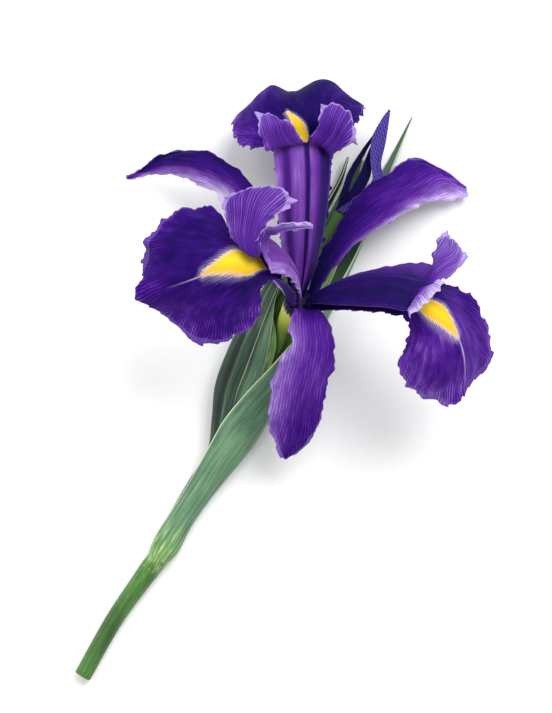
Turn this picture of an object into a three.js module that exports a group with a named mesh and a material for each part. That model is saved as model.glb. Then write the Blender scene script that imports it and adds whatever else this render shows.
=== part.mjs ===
// A cut Dutch iris lying on a table: one open flower, a furled second bud behind it,
// the green bracts that sheathe both, and a short piece of stem.
// Millimetres, +Z up, the table is z = 0 and +Y runs from the cut end towards the flower.

import * as THREE from 'three';
import { mergeVertices } from 'three/addons/utils/BufferGeometryUtils.js';

// Driving dimensions, in millimetres.
const FLOWER_SPAN = 118;          // across the two side falls
const FLOWER_HEIGHT = 24;         // the flower's base above the table
const STEM_LENGTH = 46.5;         // cut end to node
const STEM_RADIUS = 2.75;
const STEM_TOP_RADIUS = 2;        // inside the bracts
const STEM_BOW = 1.2;             // the bend of the bare stem
const NODE_RADIUS = 3.4;          // the swelling that the sheath grows from
const SPATHE_WIDTH = 23;          // the bundle of bracts at its widest
const SPATHE_DEPTH = 14;
const BRACT_THICKNESS = 0.6;
const PETAL_THICKNESS = 0.6;
const TUBE_TOP_RADIUS = 4.8;      // the disc that carries petals, stamens and style
const STYLE_RING_RADIUS = 1.9;
const FILAMENT_RADIUS = 0.45;
const ANTHER_LENGTH = 12;
const CLEARANCE = 0.3;            // between pieces that touch

// The sizes that the hand-chosen points below are drawn for.
const DRAWN_SPAN = 118;
const DRAWN_HEIGHT = 24;
const DRAWN_WIDTH = 23;
const DRAWN_DEPTH = 14;
const DRAWN_STEM_RADIUS = 2.75;

const flowerScale = FLOWER_SPAN / DRAWN_SPAN;
const dropScale = FLOWER_HEIGHT / DRAWN_HEIGHT;
const widthScale = SPATHE_WIDTH / DRAWN_WIDTH;
const depthScale = SPATHE_DEPTH / DRAWN_DEPTH;
const tubeScale = Math.min(widthScale, depthScale);
const petalRing = TUBE_TOP_RADIUS - PETAL_THICKNESS;
const ringHeight = CLEARANCE + PETAL_THICKNESS / 2;
const stamenRing = (petalRing + STYLE_RING_RADIUS) / 2;

const VIOLET = 0x4a2a9c;
const LAVENDER = 0x7c5cc4;
const NAVY = 0x16103c;
const LEAF_GREEN = 0x5f8560;
const STEM_GREEN = 0x4f8a35;
const TUBE_GREEN = 0xb4c24a;

// ---------------------------------------------------------------- shared geometry

const point = (x, y, z) => new THREE.Vector3(x, y, z);
const radians = THREE.MathUtils.degToRad;

// A smooth curve through points, cut into equal steps of its parameter.
function resample(points, steps) {
  if (points.length === steps + 1) return points;
  const curve = new THREE.CatmullRomCurve3(points, false, 'catmullrom', 0.5);
  return Array.from({ length: steps + 1 }, (_, k) => curve.getPoint(k / steps));
}

// A grid of points through rows that run from edge to edge; the rows may differ in length.
function surfaceThrough(rows, along, across) {
  const even = rows.map((row) => resample(row, across));
  const columns = even[0].map((_, k) => resample(even.map((row) => row[k]), along));
  return Array.from({ length: columns[0].length }, (_, i) => columns.map((column) => column[i]));
}

// The surface's triangles, as one indexed geometry with shared vertices.
function surfaceGeometry(grids) {
  const positions = [];
  for (const grid of grids) {
    for (let i = 0; i + 1 < grid.length; i++) {
      for (let j = 0; j + 1 < grid[i].length; j++) {
        const [a, b, c, d] = [grid[i][j], grid[i + 1][j], grid[i + 1][j + 1], grid[i][j + 1]];
        for (const p of [a, b, c, a, c, d]) positions.push(p.x, p.y, p.z);
      }
    }
  }
  const geometry = new THREE.BufferGeometry();
  geometry.setAttribute('position', new THREE.Float32BufferAttribute(positions, 3));
  return mergeVertices(geometry, 1e-3);
}

// A closed body from an open surface: a copy of it on each side, joined by a rim.
function thicken(grids, thickness) {
  const surface = surfaceGeometry(grids);
  surface.computeVertexNormals();
  const middle = surface.getAttribute('position');
  const normal = surface.getAttribute('normal');
  const faces = surface.getIndex().array;
  const count = middle.count;
  const positions = [];
  for (const side of [1, -1]) {
    for (let k = 0; k < count; k++) {
      const p = new THREE.Vector3().fromBufferAttribute(middle, k);
      const n = new THREE.Vector3().fromBufferAttribute(normal, k);
      p.addScaledVector(n, (side * thickness) / 2);
      positions.push(p.x, p.y, p.z);
    }
  }
  const triangles = [];
  const edges = new Map();
  for (let k = 0; k < faces.length; k += 3) {
    const [a, b, c] = [faces[k], faces[k + 1], faces[k + 2]];
    if (a === b || b === c || c === a) continue;
    triangles.push(a, b, c, a + count, c + count, b + count);
    for (const [from, to] of [[a, b], [b, c], [c, a]]) {
      if (!edges.delete(`${to} ${from}`)) edges.set(`${from} ${to}`, [from, to]);
    }
  }
  for (const [from, to] of edges.values()) {
    triangles.push(to, from, from + count, to, from + count, to + count);
  }
  return closedGeometry(positions, triangles);
}

function closedGeometry(positions, triangles) {
  const geometry = new THREE.BufferGeometry();
  geometry.setAttribute('position', new THREE.Float32BufferAttribute(positions, 3));
  geometry.setIndex(triangles);
  return geometry;
}

// A round bar of changing radius through stations of { at, radius, axis }, with flat ends.
function bar(stations, sides) {
  const positions = [];
  const triangles = [];
  stations.forEach((station, i) => {
    const before = stations[Math.max(i - 1, 0)].at;
    const after = stations[Math.min(i + 1, stations.length - 1)].at;
    const axis = station.axis ?? after.clone().sub(before).normalize();
    const side = point(0, 0, 1).cross(axis).normalize();
    const up = axis.clone().cross(side);
    for (let k = 0; k < sides; k++) {
      const turn = (2 * Math.PI * k) / sides;
      const p = station.at.clone().addScaledVector(side, station.radius * Math.cos(turn));
      p.addScaledVector(up, station.radius * Math.sin(turn));
      positions.push(p.x, p.y, p.z);
    }
  });
  for (let i = 0; i + 1 < stations.length; i++) {
    for (let k = 0; k < sides; k++) {
      const [a, b] = [i * sides + k, i * sides + ((k + 1) % sides)];
      triangles.push(a, b, b + sides, a, b + sides, a + sides);
    }
  }
  const last = (stations.length - 1) * sides;
  for (let k = 1; k + 1 < sides; k++) {
    triangles.push(0, k + 1, k, last, last + k, last + k + 1);
  }
  return closedGeometry(positions, triangles);
}

function piece(name, geometry, color, roughness) {
  geometry.computeVertexNormals();
  const material = new THREE.MeshStandardMaterial({ color, roughness, metalness: 0 });
  const mesh = new THREE.Mesh(geometry, material);
  mesh.name = name;
  return mesh;
}

// ---------------------------------------------------------------- the flower's frame

// The flower's own axis leans up from the table, and azimuths turn about it.
const flowerCentre = point(0, 0, FLOWER_HEIGHT);
const flowerAxis = point(0.18, 0.52, 0.83).normalize();
const azimuthZero = point(1, 0, 0).addScaledVector(flowerAxis, -flowerAxis.x).normalize();
const azimuthQuarter = flowerAxis.clone().cross(azimuthZero);

const AZIMUTH = {
  fall_back: 99.6,
  fall_left: 208.6,
  fall_right: 330,
  standard_left: 154.1,
  standard_front: 269.3,
  standard_right: 34.8,
};

function outward(azimuth) {
  const turn = radians(azimuth);
  return azimuthZero.clone().multiplyScalar(Math.cos(turn)).addScaledVector(azimuthQuarter, Math.sin(turn));
}

// A point at a distance from the flower's axis and a height along it.
function inFlower(azimuth, radius, height) {
  const p = flowerCentre.clone().addScaledVector(outward(azimuth), radius);
  return p.addScaledVector(flowerAxis, height);
}

// Hand-chosen points are measured from the flower's centre. What droops below it reaches
// the table at any size of flower.
function drawn(rows) {
  return rows.map((row) => row.map(([x, y, z]) => {
    const height = z * (z > 0 ? flowerScale : dropScale);
    return point(x * flowerScale, y * flowerScale, height).add(flowerCentre);
  }));
}

// The first row of a petal or style arm: an arc on the tube's top disc.
function ringRow(azimuth, radius, halfAngle) {
  return [1, 0.5, 0, -0.5, -1].map((u) => inFlower(azimuth + u * halfAngle, radius, ringHeight));
}

// A row across a trough or arch: stations are [radius, height, width on the anticlockwise
// side, width on the other side, bend], where a positive bend lifts the edges inwards.
function troughRows(azimuth, stations) {
  const out = outward(azimuth);
  const side = flowerAxis.clone().cross(out);
  return stations.slice(1, -1).map(([radius, height, ahead, behind, bend], k) => {
    const [before, after] = [stations[k], stations[k + 2]];
    const run = point(after[0] - before[0], after[1] - before[1], 0).normalize();
    const inward = out.clone().multiplyScalar(-run.y).addScaledVector(flowerAxis, run.x);
    const centre = inFlower(azimuth, radius * flowerScale, height * flowerScale);
    return [1, 0.67, 0.33, 0, -0.33, -0.67, -1].map((u) => {
      const p = centre.clone().addScaledVector(side, u * (u > 0 ? ahead : behind) * flowerScale);
      return p.addScaledVector(inward, bend * u * u * flowerScale);
    });
  });
}

// ---------------------------------------------------------------- falls

// A fall is a narrow trough, the haft, that turns outwards into a broad drooping blade.
const SIDE_HAFT = [
  [4.2, 0.4],
  [8.5, 6.5, 4.6, 4.6, 1.2],
  [16, 15, 7.6, 7, 2.2],
  [24.5, 24, 8.6, 8.2, 2.4],
  [31.5, 31, 9, 8.8, 1.8],
  [38, 34.5],
];
const LEFT_HAFT = [
  [4.2, 0.4],
  [7.2, 7.5, 4, 4, 1.2],
  [11.5, 17, 6, 6, 2.2],
  [16.5, 27, 7.5, 7.5, 2.4],
  [21, 35, 8.5, 8.5, 1.8],
  [26.7, 39.5],
];

const FALLS = {
  fall_left: {
    haft: LEFT_HAFT,
    blade: [
      [[-12, 4.5, 37], [-14.5, 7.5, 42], [-16.5, 11.5, 43.5], [-18, 15, 42.5], [-21, 18.5, 39]],
      [[-13, -1.5, 33], [-19, 1.5, 41], [-21, 11.5, 45], [-23, 19, 42.5], [-26, 27.5, 36]],
      [[-15, -7.5, 30], [-25.5, -2, 40.5], [-28, 10, 44.5], [-31, 19.5, 41], [-33.5, 29.5, 34]],
      [[-22.5, -12.5, 31], [-33.5, -3.5, 38], [-36, 7, 41.5], [-38.5, 17, 38.5], [-41.5, 26, 33]],
      [[-32.5, -13.5, 30], [-39.5, -4, 35], [-44, 4, 37], [-45.5, 12, 35.5], [-48.5, 19, 31]],
      [[-39.5, -8.5, 28], [-45.5, -4.5, 30.5], [-51, 1, 31.5], [-49.5, 8.5, 31], [-51, 12, 29]],
    ],
  },
  fall_back: {
    haft: SIDE_HAFT,
    blade: [
      [[-10, 48.5, 13.5], [-5, 50, 9.5], [0, 50.5, 8.5], [4.5, 51, 7.5], [9.5, 49.5, 8.5]],
      [[-14.5, 52.5, 10], [-7, 56.5, 9.5], [0.5, 58.5, 9.5], [7, 57.5, 7.5], [15, 54, 4]],
      [[-20.5, 54, 3], [-12, 65.5, 4], [0, 66, 3.5], [10.5, 66.5, 2], [19, 59, -2]],
      [[-20.5, 51, -4], [-12, 69.5, -4], [-1, 68.5, -6], [10.5, 71, -6], [20, 62.5, -9]],
      [[-17.5, 47, -10], [-14.5, 68.5, -13], [-2, 68, -15], [10, 70.5, -15], [19, 58.5, -15]],
      [[-13, 46, -16], [-11.5, 65, -20.5], [-2.5, 66.5, -21.5], [7, 68.5, -21.5], [15, 57, -19]],
    ],
  },
  fall_right: {
    haft: SIDE_HAFT,
    blade: [
      [[42, 6, 30], [41, 2.5, 34], [39.5, -1, 35.5], [37, -4.5, 35.5], [33.5, -7, 33]],
      [[47.5, 4, 26], [46, 0, 33], [44.5, -5, 36], [39.5, -11.5, 36], [33, -12.5, 30]],
      [[54, 0.5, 22], [51, -5.5, 28.5], [48.5, -11.5, 34], [41.5, -17.5, 35], [30.5, -19, 27]],
      [[59, -8.5, 18], [54.5, -12.5, 25], [50.5, -18, 30.5], [43.5, -23.5, 32], [33, -26, 25]],
      [[61, -17.5, 16], [56.5, -20, 21], [51, -24.5, 26], [45.5, -28.5, 27.5], [38, -30.5, 23]],
      [[58.5, -24, 15], [55, -26.5, 18], [50, -29.5, 22.5], [49, -33, 23], [44, -33.5, 21.5]],
    ],
  },
};

function fall(name) {
  const { haft, blade } = FALLS[name];
  const azimuth = AZIMUTH[name];
  const rows = [ringRow(azimuth, petalRing, 22), ...troughRows(azimuth, haft), ...drawn(blade)];
  return piece(name, thicken([surfaceThrough(rows, 22, 8)], PETAL_THICKNESS), VIOLET, 0.6);
}

// ---------------------------------------------------------------- standards

// A standard is a narrow claw that widens into a long petal, here spread and drooping.
const STANDARDS = {
  standard_left: [
    [[-16, 14, -0.5], [-13.5, 13.5, 1.5], [-11, 12.5, 4]],
    [[-20.5, 21.5, 0], [-16, 22, 5], [-11, 20.5, 7]],
    [[-23.5, 28, 0], [-18, 29.5, 6], [-12, 28.5, 8]],
    [[-26, 33.5, 0], [-21, 36.5, 6], [-15, 36, 7]],
    [[-32.5, 37, -3], [-27, 41.5, 3], [-22.5, 43.5, 4]],
    [[-38.5, 40, -8], [-35.5, 44.5, -2], [-32.5, 48.5, -2]],
    [[-45.5, 41, -12.5], [-43.5, 45, -8], [-44, 47.5, -10]],
    [[-51.5, 40.5, -16], [-51, 42, -14.5], [-51.5, 43, -14.5]],
    [[-55.5, 39.5, -17.5], [-56, 40, -17.5], [-56.5, 40, -17.5]],
  ],
  standard_right: [
    [[4.5, 12, -1.5], [7.5, 10.5, -1], [9.5, 9, -3]],
    [[10, 20.5, -4.5], [14, 19, -2.5], [18, 18.5, -5]],
    [[15, 29, -7], [21.5, 26, -3.5], [26.5, 24, -6]],
    [[20.5, 36.5, -10], [29.5, 32, -5.5], [36, 29.5, -10]],
    [[28.5, 41.5, -12.5], [37.5, 36, -10], [43, 32.5, -14.5]],
    [[35.5, 46.5, -16.5], [43.5, 40, -15], [48.5, 32.5, -18.5]],
    [[43, 44.5, -19.5], [49, 39.5, -19.5], [52, 33.5, -20]],
    [[51, 40, -21.5], [53.5, 37, -21.5], [54.5, 34, -21]],
  ],
  standard_front: [
    [[5.5, -3.5, 12.5], [2, -3.5, 13], [-2, -3, 12]],
    [[9.5, -8, 12], [2.5, -8, 16], [-4, -8, 14]],
    [[10.5, -15.5, 13.5], [3, -14.5, 16], [-3, -13.5, 15]],
    [[10.5, -20.5, 12], [2, -20.5, 14], [-6.5, -19, 13]],
    [[8, -28.5, 8], [0, -28.5, 10.5], [-9.5, -26.5, 8]],
    [[7, -35, 4], [-1.5, -35.5, 6], [-10, -34.5, 4]],
    [[5, -41.5, 0], [-2.5, -41.5, 2], [-10.5, -40, 0]],
    [[2, -46, -3], [-4, -47, -2], [-8, -46, -3.5]],
    [[-2.5, -50, -5.5], [-5, -50.5, -5.5], [-6.5, -50.5, -6]],
  ],
};

function standard(name) {
  const rows = [ringRow(AZIMUTH[name], petalRing, 22), ...drawn(STANDARDS[name])];
  return piece(name, thicken([surfaceThrough(rows, 18, 6)], PETAL_THICKNESS), LAVENDER, 0.6);
}

// ---------------------------------------------------------------- style arms

// A style arm arches over the haft of its fall and ends in two crests.
const SIDE_ARM = [
  [1.9, 0.4],
  [5.3, 9.5, 4.8, 4, -1],
  [10.8, 19, 7.8, 6.2, -2.6],
  [18.5, 28.5, 9.2, 7.6, -3.4],
  [27, 36, 10, 8.4, -2.8],
  [34, 39.5, 10.2, 8.6, -2],
  [40, 40],
];
const RIGHT_ARM = [
  [1.9, 0.4],
  [5.3, 9.5, 5, 4, -1],
  [10.8, 19, 8.6, 6.2, -2.6],
  [18.5, 28.5, 11, 7.6, -3.4],
  [27, 36, 12.4, 8.4, -2.8],
  [34, 39.5, 12.6, 8.6, -2],
  [40, 40],
];
const LEFT_ARM = [
  [1.9, 0.4],
  [3.3, 10, 4, 4, -1],
  [6, 20.5, 6, 6, -2.6],
  [10.2, 30.5, 7.5, 7.5, -3],
  [16, 39, 8.2, 8.2, -2.5],
  [23.5, 44, 7.5, 7.5, -2],
  [30, 45.5],
];

const STYLE_ARMS = {
  style_arm_left: {
    fall: 'fall_left',
    arm: LEFT_ARM,
    crests: [
      [
        [[-10.5, 15.5, 44], [-12, 16.5, 47], [-13.5, 17, 49], [-14.5, 17.5, 50.5]],
        [[-9.5, 19.5, 45], [-10.5, 20, 48], [-11, 21, 50.5], [-11.5, 21.5, 52.5]],
        [[-6.5, 20.5, 47.5], [-6.5, 21.5, 50], [-6.5, 22, 52], [-6.5, 23, 53.5]],
        [[-1.5, 21.5, 48.5], [-1.5, 22.5, 50.5], [-1.5, 23, 52], [-1.5, 23.5, 53]],
        [[3, 22.5, 50], [3, 22.5, 50.5], [3, 23, 51], [3, 23, 51.5]],
      ],
      [
        [[-13.5, 19.5, 50], [-16, 21, 50], [-19, 21, 49], [-21.5, 20.5, 47.5]],
        [[-10, 24, 52.5], [-13.5, 27, 53], [-18.5, 27.5, 52], [-23.5, 24.5, 49]],
        [[-5, 27.5, 54], [-10.5, 31.5, 54.5], [-18, 32, 53], [-24.5, 28.5, 50]],
        [[-1.5, 30, 55], [-7.5, 34.5, 55.5], [-16.5, 34, 54], [-24, 31.5, 51]],
      ],
    ],
  },
  style_arm_back: {
    fall: 'fall_back',
    arm: SIDE_ARM,
    crests: [
      [
        [[-11, 47.5, 20.5], [-6.5, 48.5, 21], [-2, 49.5, 20], [1, 50, 19]],
        [[-12.5, 51, 22], [-8.5, 52, 23], [-4.5, 52.5, 22.5], [-1, 52, 21]],
        [[-13.5, 54.5, 22.5], [-9.5, 55.5, 24], [-5.5, 55.5, 24], [-2, 54.5, 22.5]],
        [[-14, 59, 22], [-11, 59, 23.5], [-7.5, 57.5, 24], [-4, 56, 22.5]],
      ],
      [
        [[3, 51, 19], [5, 50, 19], [7.5, 48, 18], [9.5, 45, 15]],
        [[5, 54.5, 20.5], [8, 54, 21], [11, 51.5, 19.5], [12, 47.5, 16.5]],
        [[6, 58, 21], [9, 57.5, 22], [13, 55, 20.5], [15, 49, 18]],
        [[6, 61.5, 21], [10.5, 62, 22], [15.5, 59, 21], [18, 49.5, 19]],
      ],
    ],
  },
  style_arm_right: {
    fall: 'fall_right',
    arm: RIGHT_ARM,
    crests: [
      [
        [[41.5, 13, 32.5], [41.5, 10.5, 34.5], [42, 7.5, 37], [42, 5, 38.5]],
        [[42, 16, 34], [44, 13.5, 36.5], [45, 9.5, 38.5], [44, 6, 39]],
        [[43, 19, 36], [47, 16, 38], [48, 11.5, 39.5], [47, 7.5, 39.5]],
        [[45, 21.5, 37.5], [47.5, 18.5, 39], [50, 16, 40], [52, 13, 40]],
      ],
      [
        [[41, 4.5, 38], [38.5, 2.5, 39], [35.5, 0, 39], [33, -3.5, 38]],
        [[42.5, 5.5, 42], [39.5, 2.5, 44], [36.5, -0.5, 43.5], [33.5, -4, 42]],
        [[44.5, 5.5, 46], [41, 1, 49], [37.5, -2.5, 48.5], [33.5, -5.5, 46]],
      ],
    ],
  },
};

function styleArm(name) {
  const { fall: fallName, arm, crests } = STYLE_ARMS[name];
  const azimuth = AZIMUTH[fallName];
  const rows = [ringRow(azimuth, STYLE_RING_RADIUS, 45), ...troughRows(azimuth, arm)];
  const grid = surfaceThrough(rows, 14, 8);
  const end = grid[grid.length - 1];
  const halves = [end.slice(0, 5), end.slice(4)];
  const lobes = crests.map((rowsOut, k) => {
    const evenRows = drawn(rowsOut).map((row) => resample(row, 4));
    return surfaceThrough([halves[k], ...evenRows], 6, 4);
  });
  return piece(name, thicken([grid, ...lobes], PETAL_THICKNESS), LAVENDER, 0.55);
}

// ---------------------------------------------------------------- stamens

// A stamen lies between the haft and the style arm above it: a thin filament, a long anther.
function stamen(name, fallName) {
  const azimuth = AZIMUTH[fallName];
  const { haft } = FALLS[fallName];
  const { arm } = STYLE_ARMS[fallName.replace('fall', 'style_arm')];
  const between = [1, 2, 3].map((k) => {
    const [radius, height] = [0, 1].map((c) => (haft[k][c] + arm[k][c]) / 2);
    return inFlower(azimuth, radius * flowerScale, height * flowerScale);
  });
  const foot = inFlower(azimuth, stamenRing, ringHeight);
  const along = between[2].clone().sub(between[1]).normalize();
  const antherTop = between[2].clone().addScaledVector(along, ANTHER_LENGTH / 2);
  const antherFoot = between[2].clone().addScaledVector(along, -ANTHER_LENGTH / 2);
  const stations = [
    { at: foot, radius: FILAMENT_RADIUS, axis: flowerAxis },
    { at: between[0], radius: FILAMENT_RADIUS },
    { at: between[1], radius: FILAMENT_RADIUS },
    { at: antherFoot, radius: FILAMENT_RADIUS },
    { at: antherFoot.clone().addScaledVector(along, 1), radius: 2 * FILAMENT_RADIUS },
    { at: antherTop.clone().addScaledVector(along, -1), radius: 2 * FILAMENT_RADIUS },
    { at: antherTop, radius: FILAMENT_RADIUS },
  ];
  return piece(name, bar(stations, 8), 0xe8d9a0, 0.7);
}

// ---------------------------------------------------------------- the bundle of bracts

// A bract is part of a tube: each station gives the tube's centre, its radii across and up,
// and the angles that the leaf covers, where 0 is to the right, 90 up and -90 to the table.
const OUTER_SHEATH = [
  [-46, -83, 3.5, 3.5, -180, 165],
  [-39, -71, 3.8, 3.9, -180, 165],
  [-32.3, -60.5, 4.5, 4.5, -180, 158],
  [-26, -50.5, 5.9, 5.2, -140, 145],
  [-21.1, -40.5, 8.1, 6, -125, 122],
  [-17.1, -30.5, 9.7, 6.6, -115, 96],
  [-12.3, -20.5, 10.5, 7, -110, 76],
  [-7.3, -10.5, 11.2, 7, -105, 60],
  [-1.8, -0.5, 11.5, 6.5, -100, 40],
  [5.2, 12.5, 11, 5.8, -90, 25],
  [13.5, 27.5, 9.5, 5.2, -75, 15],
  [23.9, 44.8, 6, 4.5, -55, 10],
  [34, 61.4, 3, 3.6, -30, -5],
];
const LEFT_BRACT = [
  [-32.2, -60.5, 3.2, 3.2, 100, 250],
  [-25.9, -50.5, 4.6, 4, 100, 258],
  [-21.9, -40.5, 7.2, 4.8, 100, 256],
  [-18.7, -30.5, 9.4, 5.4, 102, 254],
  [-14, -20.5, 10.4, 5.8, 106, 250],
  [-8.7, -10.5, 10.8, 5.8, 114, 246],
  [-2.7, -0.5, 10.4, 5.3, 128, 240],
  [5.5, 12.5, 9.5, 4.8, 150, 232],
  [12.5, 24, 8, 4.4, 160, 224],
  [18, 37, 6, 4, 165, 215],
  [19, 46.5, 3.5, 3.4, 172, 200],
];
const MIDDLE_BRACT = [
  [-25.8, -50.5, 3.3, 2.9, 62, 230],
  [-21.5, -40.5, 5.4, 3.6, 64, 230],
  [-17.5, -30.5, 7.2, 4.2, 70, 232],
  [-12.7, -20.5, 8.3, 4.6, 82, 236],
  [-7.5, -10.5, 9, 4.6, 104, 240],
  [-2.2, -0.5, 9.2, 4.2, 132, 245],
  [4.8, 12.5, 7.7, 3.6, 150, 250],
  [12.5, 25, 5, 3, 170, 290],
  [16.5, 36, 3, 2.6, 180, 320],
  [20, 46, 1.5, 2, 200, 310],
];
const INNER_BRACT = [
  [-21.3, -40.5, 3.9, 2.5, -300, 45],
  [-17.5, -30.5, 5.8, 3, -300, 45],
  [-12.7, -20.5, 7, 3.4, -296, 45],
  [-8.8, -13, 7.7, 3.4, -278, 42],
  [-5, -6, 7.9, 3.4, -235, 38],
  [-2.2, -0.5, 7.9, 3, -215, 25],
  [5, 12.5, 6.8, 2.4, -170, 0],
  [12.1, 24, 4, 1.9, -140, -20],
  [15, 29.5, 2, 1.9, -120, -50],
];

// Where the leaves stop hugging the stem, and where the bundle has its own full size.
const SNUG_UNTIL = -71;
const FULL_FROM = -40.5;

// The bundle's scale along its length: the stem's near the node, then its own.
function bundleScale(y, fullScale) {
  const share = THREE.MathUtils.clamp((y - SNUG_UNTIL) / (FULL_FROM - SNUG_UNTIL), 0, 1);
  return THREE.MathUtils.lerp(STEM_RADIUS / DRAWN_STEM_RADIUS, fullScale, share);
}

// The bundle's middle lies as high as the outer sheath is deep, so that the sheath rests.
function bundleMiddle(y) {
  const at = OUTER_SHEATH.findIndex((station) => station[1] >= y);
  const [a, b] = [OUTER_SHEATH[Math.max(at - 1, 0)], OUTER_SHEATH[at]];
  const share = a === b ? 0 : (y - a[1]) / (b[1] - a[1]);
  const radius = THREE.MathUtils.lerp(a[3], b[3], share) * bundleScale(y, depthScale);
  return point(THREE.MathUtils.lerp(a[0], b[0], share), y, radius + BRACT_THICKNESS / 2);
}

// A place inside the bundle, beside and above its middle.
function inBundle(y, across = 0, up = 0) {
  const [sideways, upwards] = [bundleScale(y, widthScale), bundleScale(y, depthScale)];
  return bundleMiddle(y).add(point(across * sideways, 0, up * upwards));
}

// ---------------------------------------------------------------- stem and tubes

const node = inBundle(OUTER_SHEATH[0][1]);
const swollenHeight = Math.max(node.z, NODE_RADIUS);
const stemDirection = point(0.539, 0.842, 0);
const stemSide = point(0.842, -0.539, 0);
const cutEnd = node.clone().addScaledVector(stemDirection, -STEM_LENGTH).setZ(STEM_RADIUS);
const stemTop = inBundle(-43);

// A place along the bare stem: its distance below the node, and how far it leans outwards.
function belowNode(distance, lean, height) {
  return node.clone().addScaledVector(stemDirection, -distance).addScaledVector(stemSide, -lean).setZ(height);
}

// Inside the bracts the stem follows the middle of their bundle.
function stem() {
  const stations = [
    { at: cutEnd, radius: STEM_RADIUS, axis: stemDirection },
    { at: belowNode(0.55 * STEM_LENGTH, STEM_BOW, STEM_RADIUS + 0.5), radius: STEM_RADIUS + 0.15 },
    { at: belowNode(0.2 * STEM_LENGTH, STEM_BOW / 2, swollenHeight), radius: 0.97 * NODE_RADIUS },
    { at: belowNode(0.1 * STEM_LENGTH, STEM_BOW / 4, swollenHeight), radius: NODE_RADIUS },
    { at: node, radius: STEM_RADIUS },
    { at: inBundle(-71), radius: STEM_RADIUS },
    { at: inBundle(-60.5), radius: (STEM_RADIUS + STEM_TOP_RADIUS) / 2 },
    { at: inBundle(-50.5), radius: STEM_TOP_RADIUS },
    { at: stemTop, radius: STEM_TOP_RADIUS, axis: stemDirection },
  ];
  return piece('stem', bar(stations, 14), STEM_GREEN, 0.55);
}

// Where a flower's tube starts, beside the other one on the stem's end.
function tubeStart(across) {
  return stemTop.clone().addScaledVector(stemDirection, CLEARANCE).addScaledVector(stemSide, across);
}

// A place on the tube as it climbs from the bundle to the flower.
function climbing(x, y, share) {
  return point(x, y, THREE.MathUtils.lerp(bundleMiddle(y).z, FLOWER_HEIGHT, share));
}

// The open flower's ovary and tube leave the bracts and turn up to the flower's axis.
function perianthTube() {
  const stations = [
    { at: tubeStart(1.3), radius: 1.1, axis: stemDirection },
    { at: inBundle(-30, 1.4), radius: 2 * tubeScale },
    { at: inBundle(-16.5, 2.3), radius: 2.2 * tubeScale },
    { at: climbing(-5.6, -10, 0.04), radius: 2.4 },
    { at: climbing(-4.2, -6, 0.29), radius: 3 },
    { at: climbing(-2.2, -2.8, 0.62), radius: 3.9 },
    { at: flowerCentre, radius: TUBE_TOP_RADIUS, axis: flowerAxis },
  ];
  return piece('perianth_tube', bar(stations, 14), TUBE_GREEN, 0.55);
}

// The second bud's tube stays low in the bracts.
const BUD_TUBE_RADIUS = 1.8;
const budTubeEnd = inBundle(28.5, -1.6, 1.1);

function budTube() {
  const stations = [
    { at: tubeStart(-1.3), radius: 1.1, axis: stemDirection },
    { at: inBundle(-28.5, -3.9), radius: 1.4 * tubeScale },
    { at: inBundle(-14, -4.3), radius: 1.6 * tubeScale },
    { at: inBundle(-2.5, -5, 0.4), radius: 1.5 * tubeScale },
    { at: inBundle(10, -3.4, 0.7), radius: 1.5 * tubeScale },
    { at: inBundle(20, -1.9, 1.1), radius: 1.6 * tubeScale },
    { at: budTubeEnd, radius: BUD_TUBE_RADIUS },
  ];
  return piece('bud_tube', bar(stations, 10), TUBE_GREEN, 0.55);
}

// ---------------------------------------------------------------- bracts

function bractRows(stations) {
  return stations.map(([x, y, wide, high, from, to], i) => {
    const before = stations[Math.max(i - 1, 0)];
    const after = stations[Math.min(i + 1, stations.length - 1)];
    const along = point(after[0] - before[0], after[1] - before[1], 0).normalize();
    const side = along.clone().cross(point(0, 0, 1));
    const centre = bundleMiddle(y).setX(x);
    const [sideways, upwards] = [bundleScale(y, widthScale), bundleScale(y, depthScale)];
    return Array.from({ length: 13 }, (_, k) => {
      const turn = radians(from + ((to - from) * k) / 12);
      const p = centre.clone().addScaledVector(side, wide * sideways * Math.cos(turn));
      return p.setZ(centre.z + high * upwards * Math.sin(turn));
    });
  });
}

function bract(name, stations, color) {
  const grid = surfaceThrough(bractRows(stations), 18, 12);
  return piece(name, thicken([grid], BRACT_THICKNESS), color, 0.65);
}

// ---------------------------------------------------------------- second bud

// Each petal starts on the end of the bud's tube, at its own height, one above another.
const BUD_PETALS = {
  bud_petal_outer: {
    seat: -1.4,
    rows: [
      [[13.5, 36, 6.2], [14.5, 35.8, 6], [15.5, 35.5, 6.2]],
      [[15.5, 42, 6.5], [16.5, 41.8, 6.2], [17.5, 41.5, 6.5]],
      [[19.5, 48.5, 7], [20.3, 48.2, 6.8], [21, 48, 7]],
      [[23.5, 54, 7.5], [23.8, 53.8, 7.5], [24, 53.5, 7.5]],
    ],
  },
  bud_petal_inner: {
    seat: 0,
    rows: [
      [[15, 34.5, 8.4], [17, 34.2, 8], [19, 33.8, 8.4]],
      [[18.5, 40, 8.8], [20.5, 40.2, 8.4], [22.5, 40.2, 8.8]],
      [[21, 46, 9.5], [22.2, 46, 9.2], [23, 46, 9.5]],
      [[22.5, 50, 10], [22.8, 49.8, 10], [23, 49.5, 10]],
    ],
  },
  bud_petal_folded: {
    seat: 1.4,
    rows: [
      [[17, 33, 10.6], [18.7, 32.5, 10], [20.3, 32, 10.6]],
      [[23, 38.8, 11], [24.7, 38.6, 10.2], [26.4, 38.3, 10.8]],
      [[22.5, 45.5, 12], [24.2, 45, 11], [26, 44.5, 11.8]],
      [[23, 52.5, 13], [25.3, 52, 12], [27.5, 51.5, 13]],
      [[26, 58.5, 13.5], [27.2, 58.2, 13], [28.5, 58, 13.5]],
      [[28.5, 62, 13.5], [28.7, 61.7, 13.5], [29, 61.5, 13.5]],
    ],
  },
};

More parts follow.
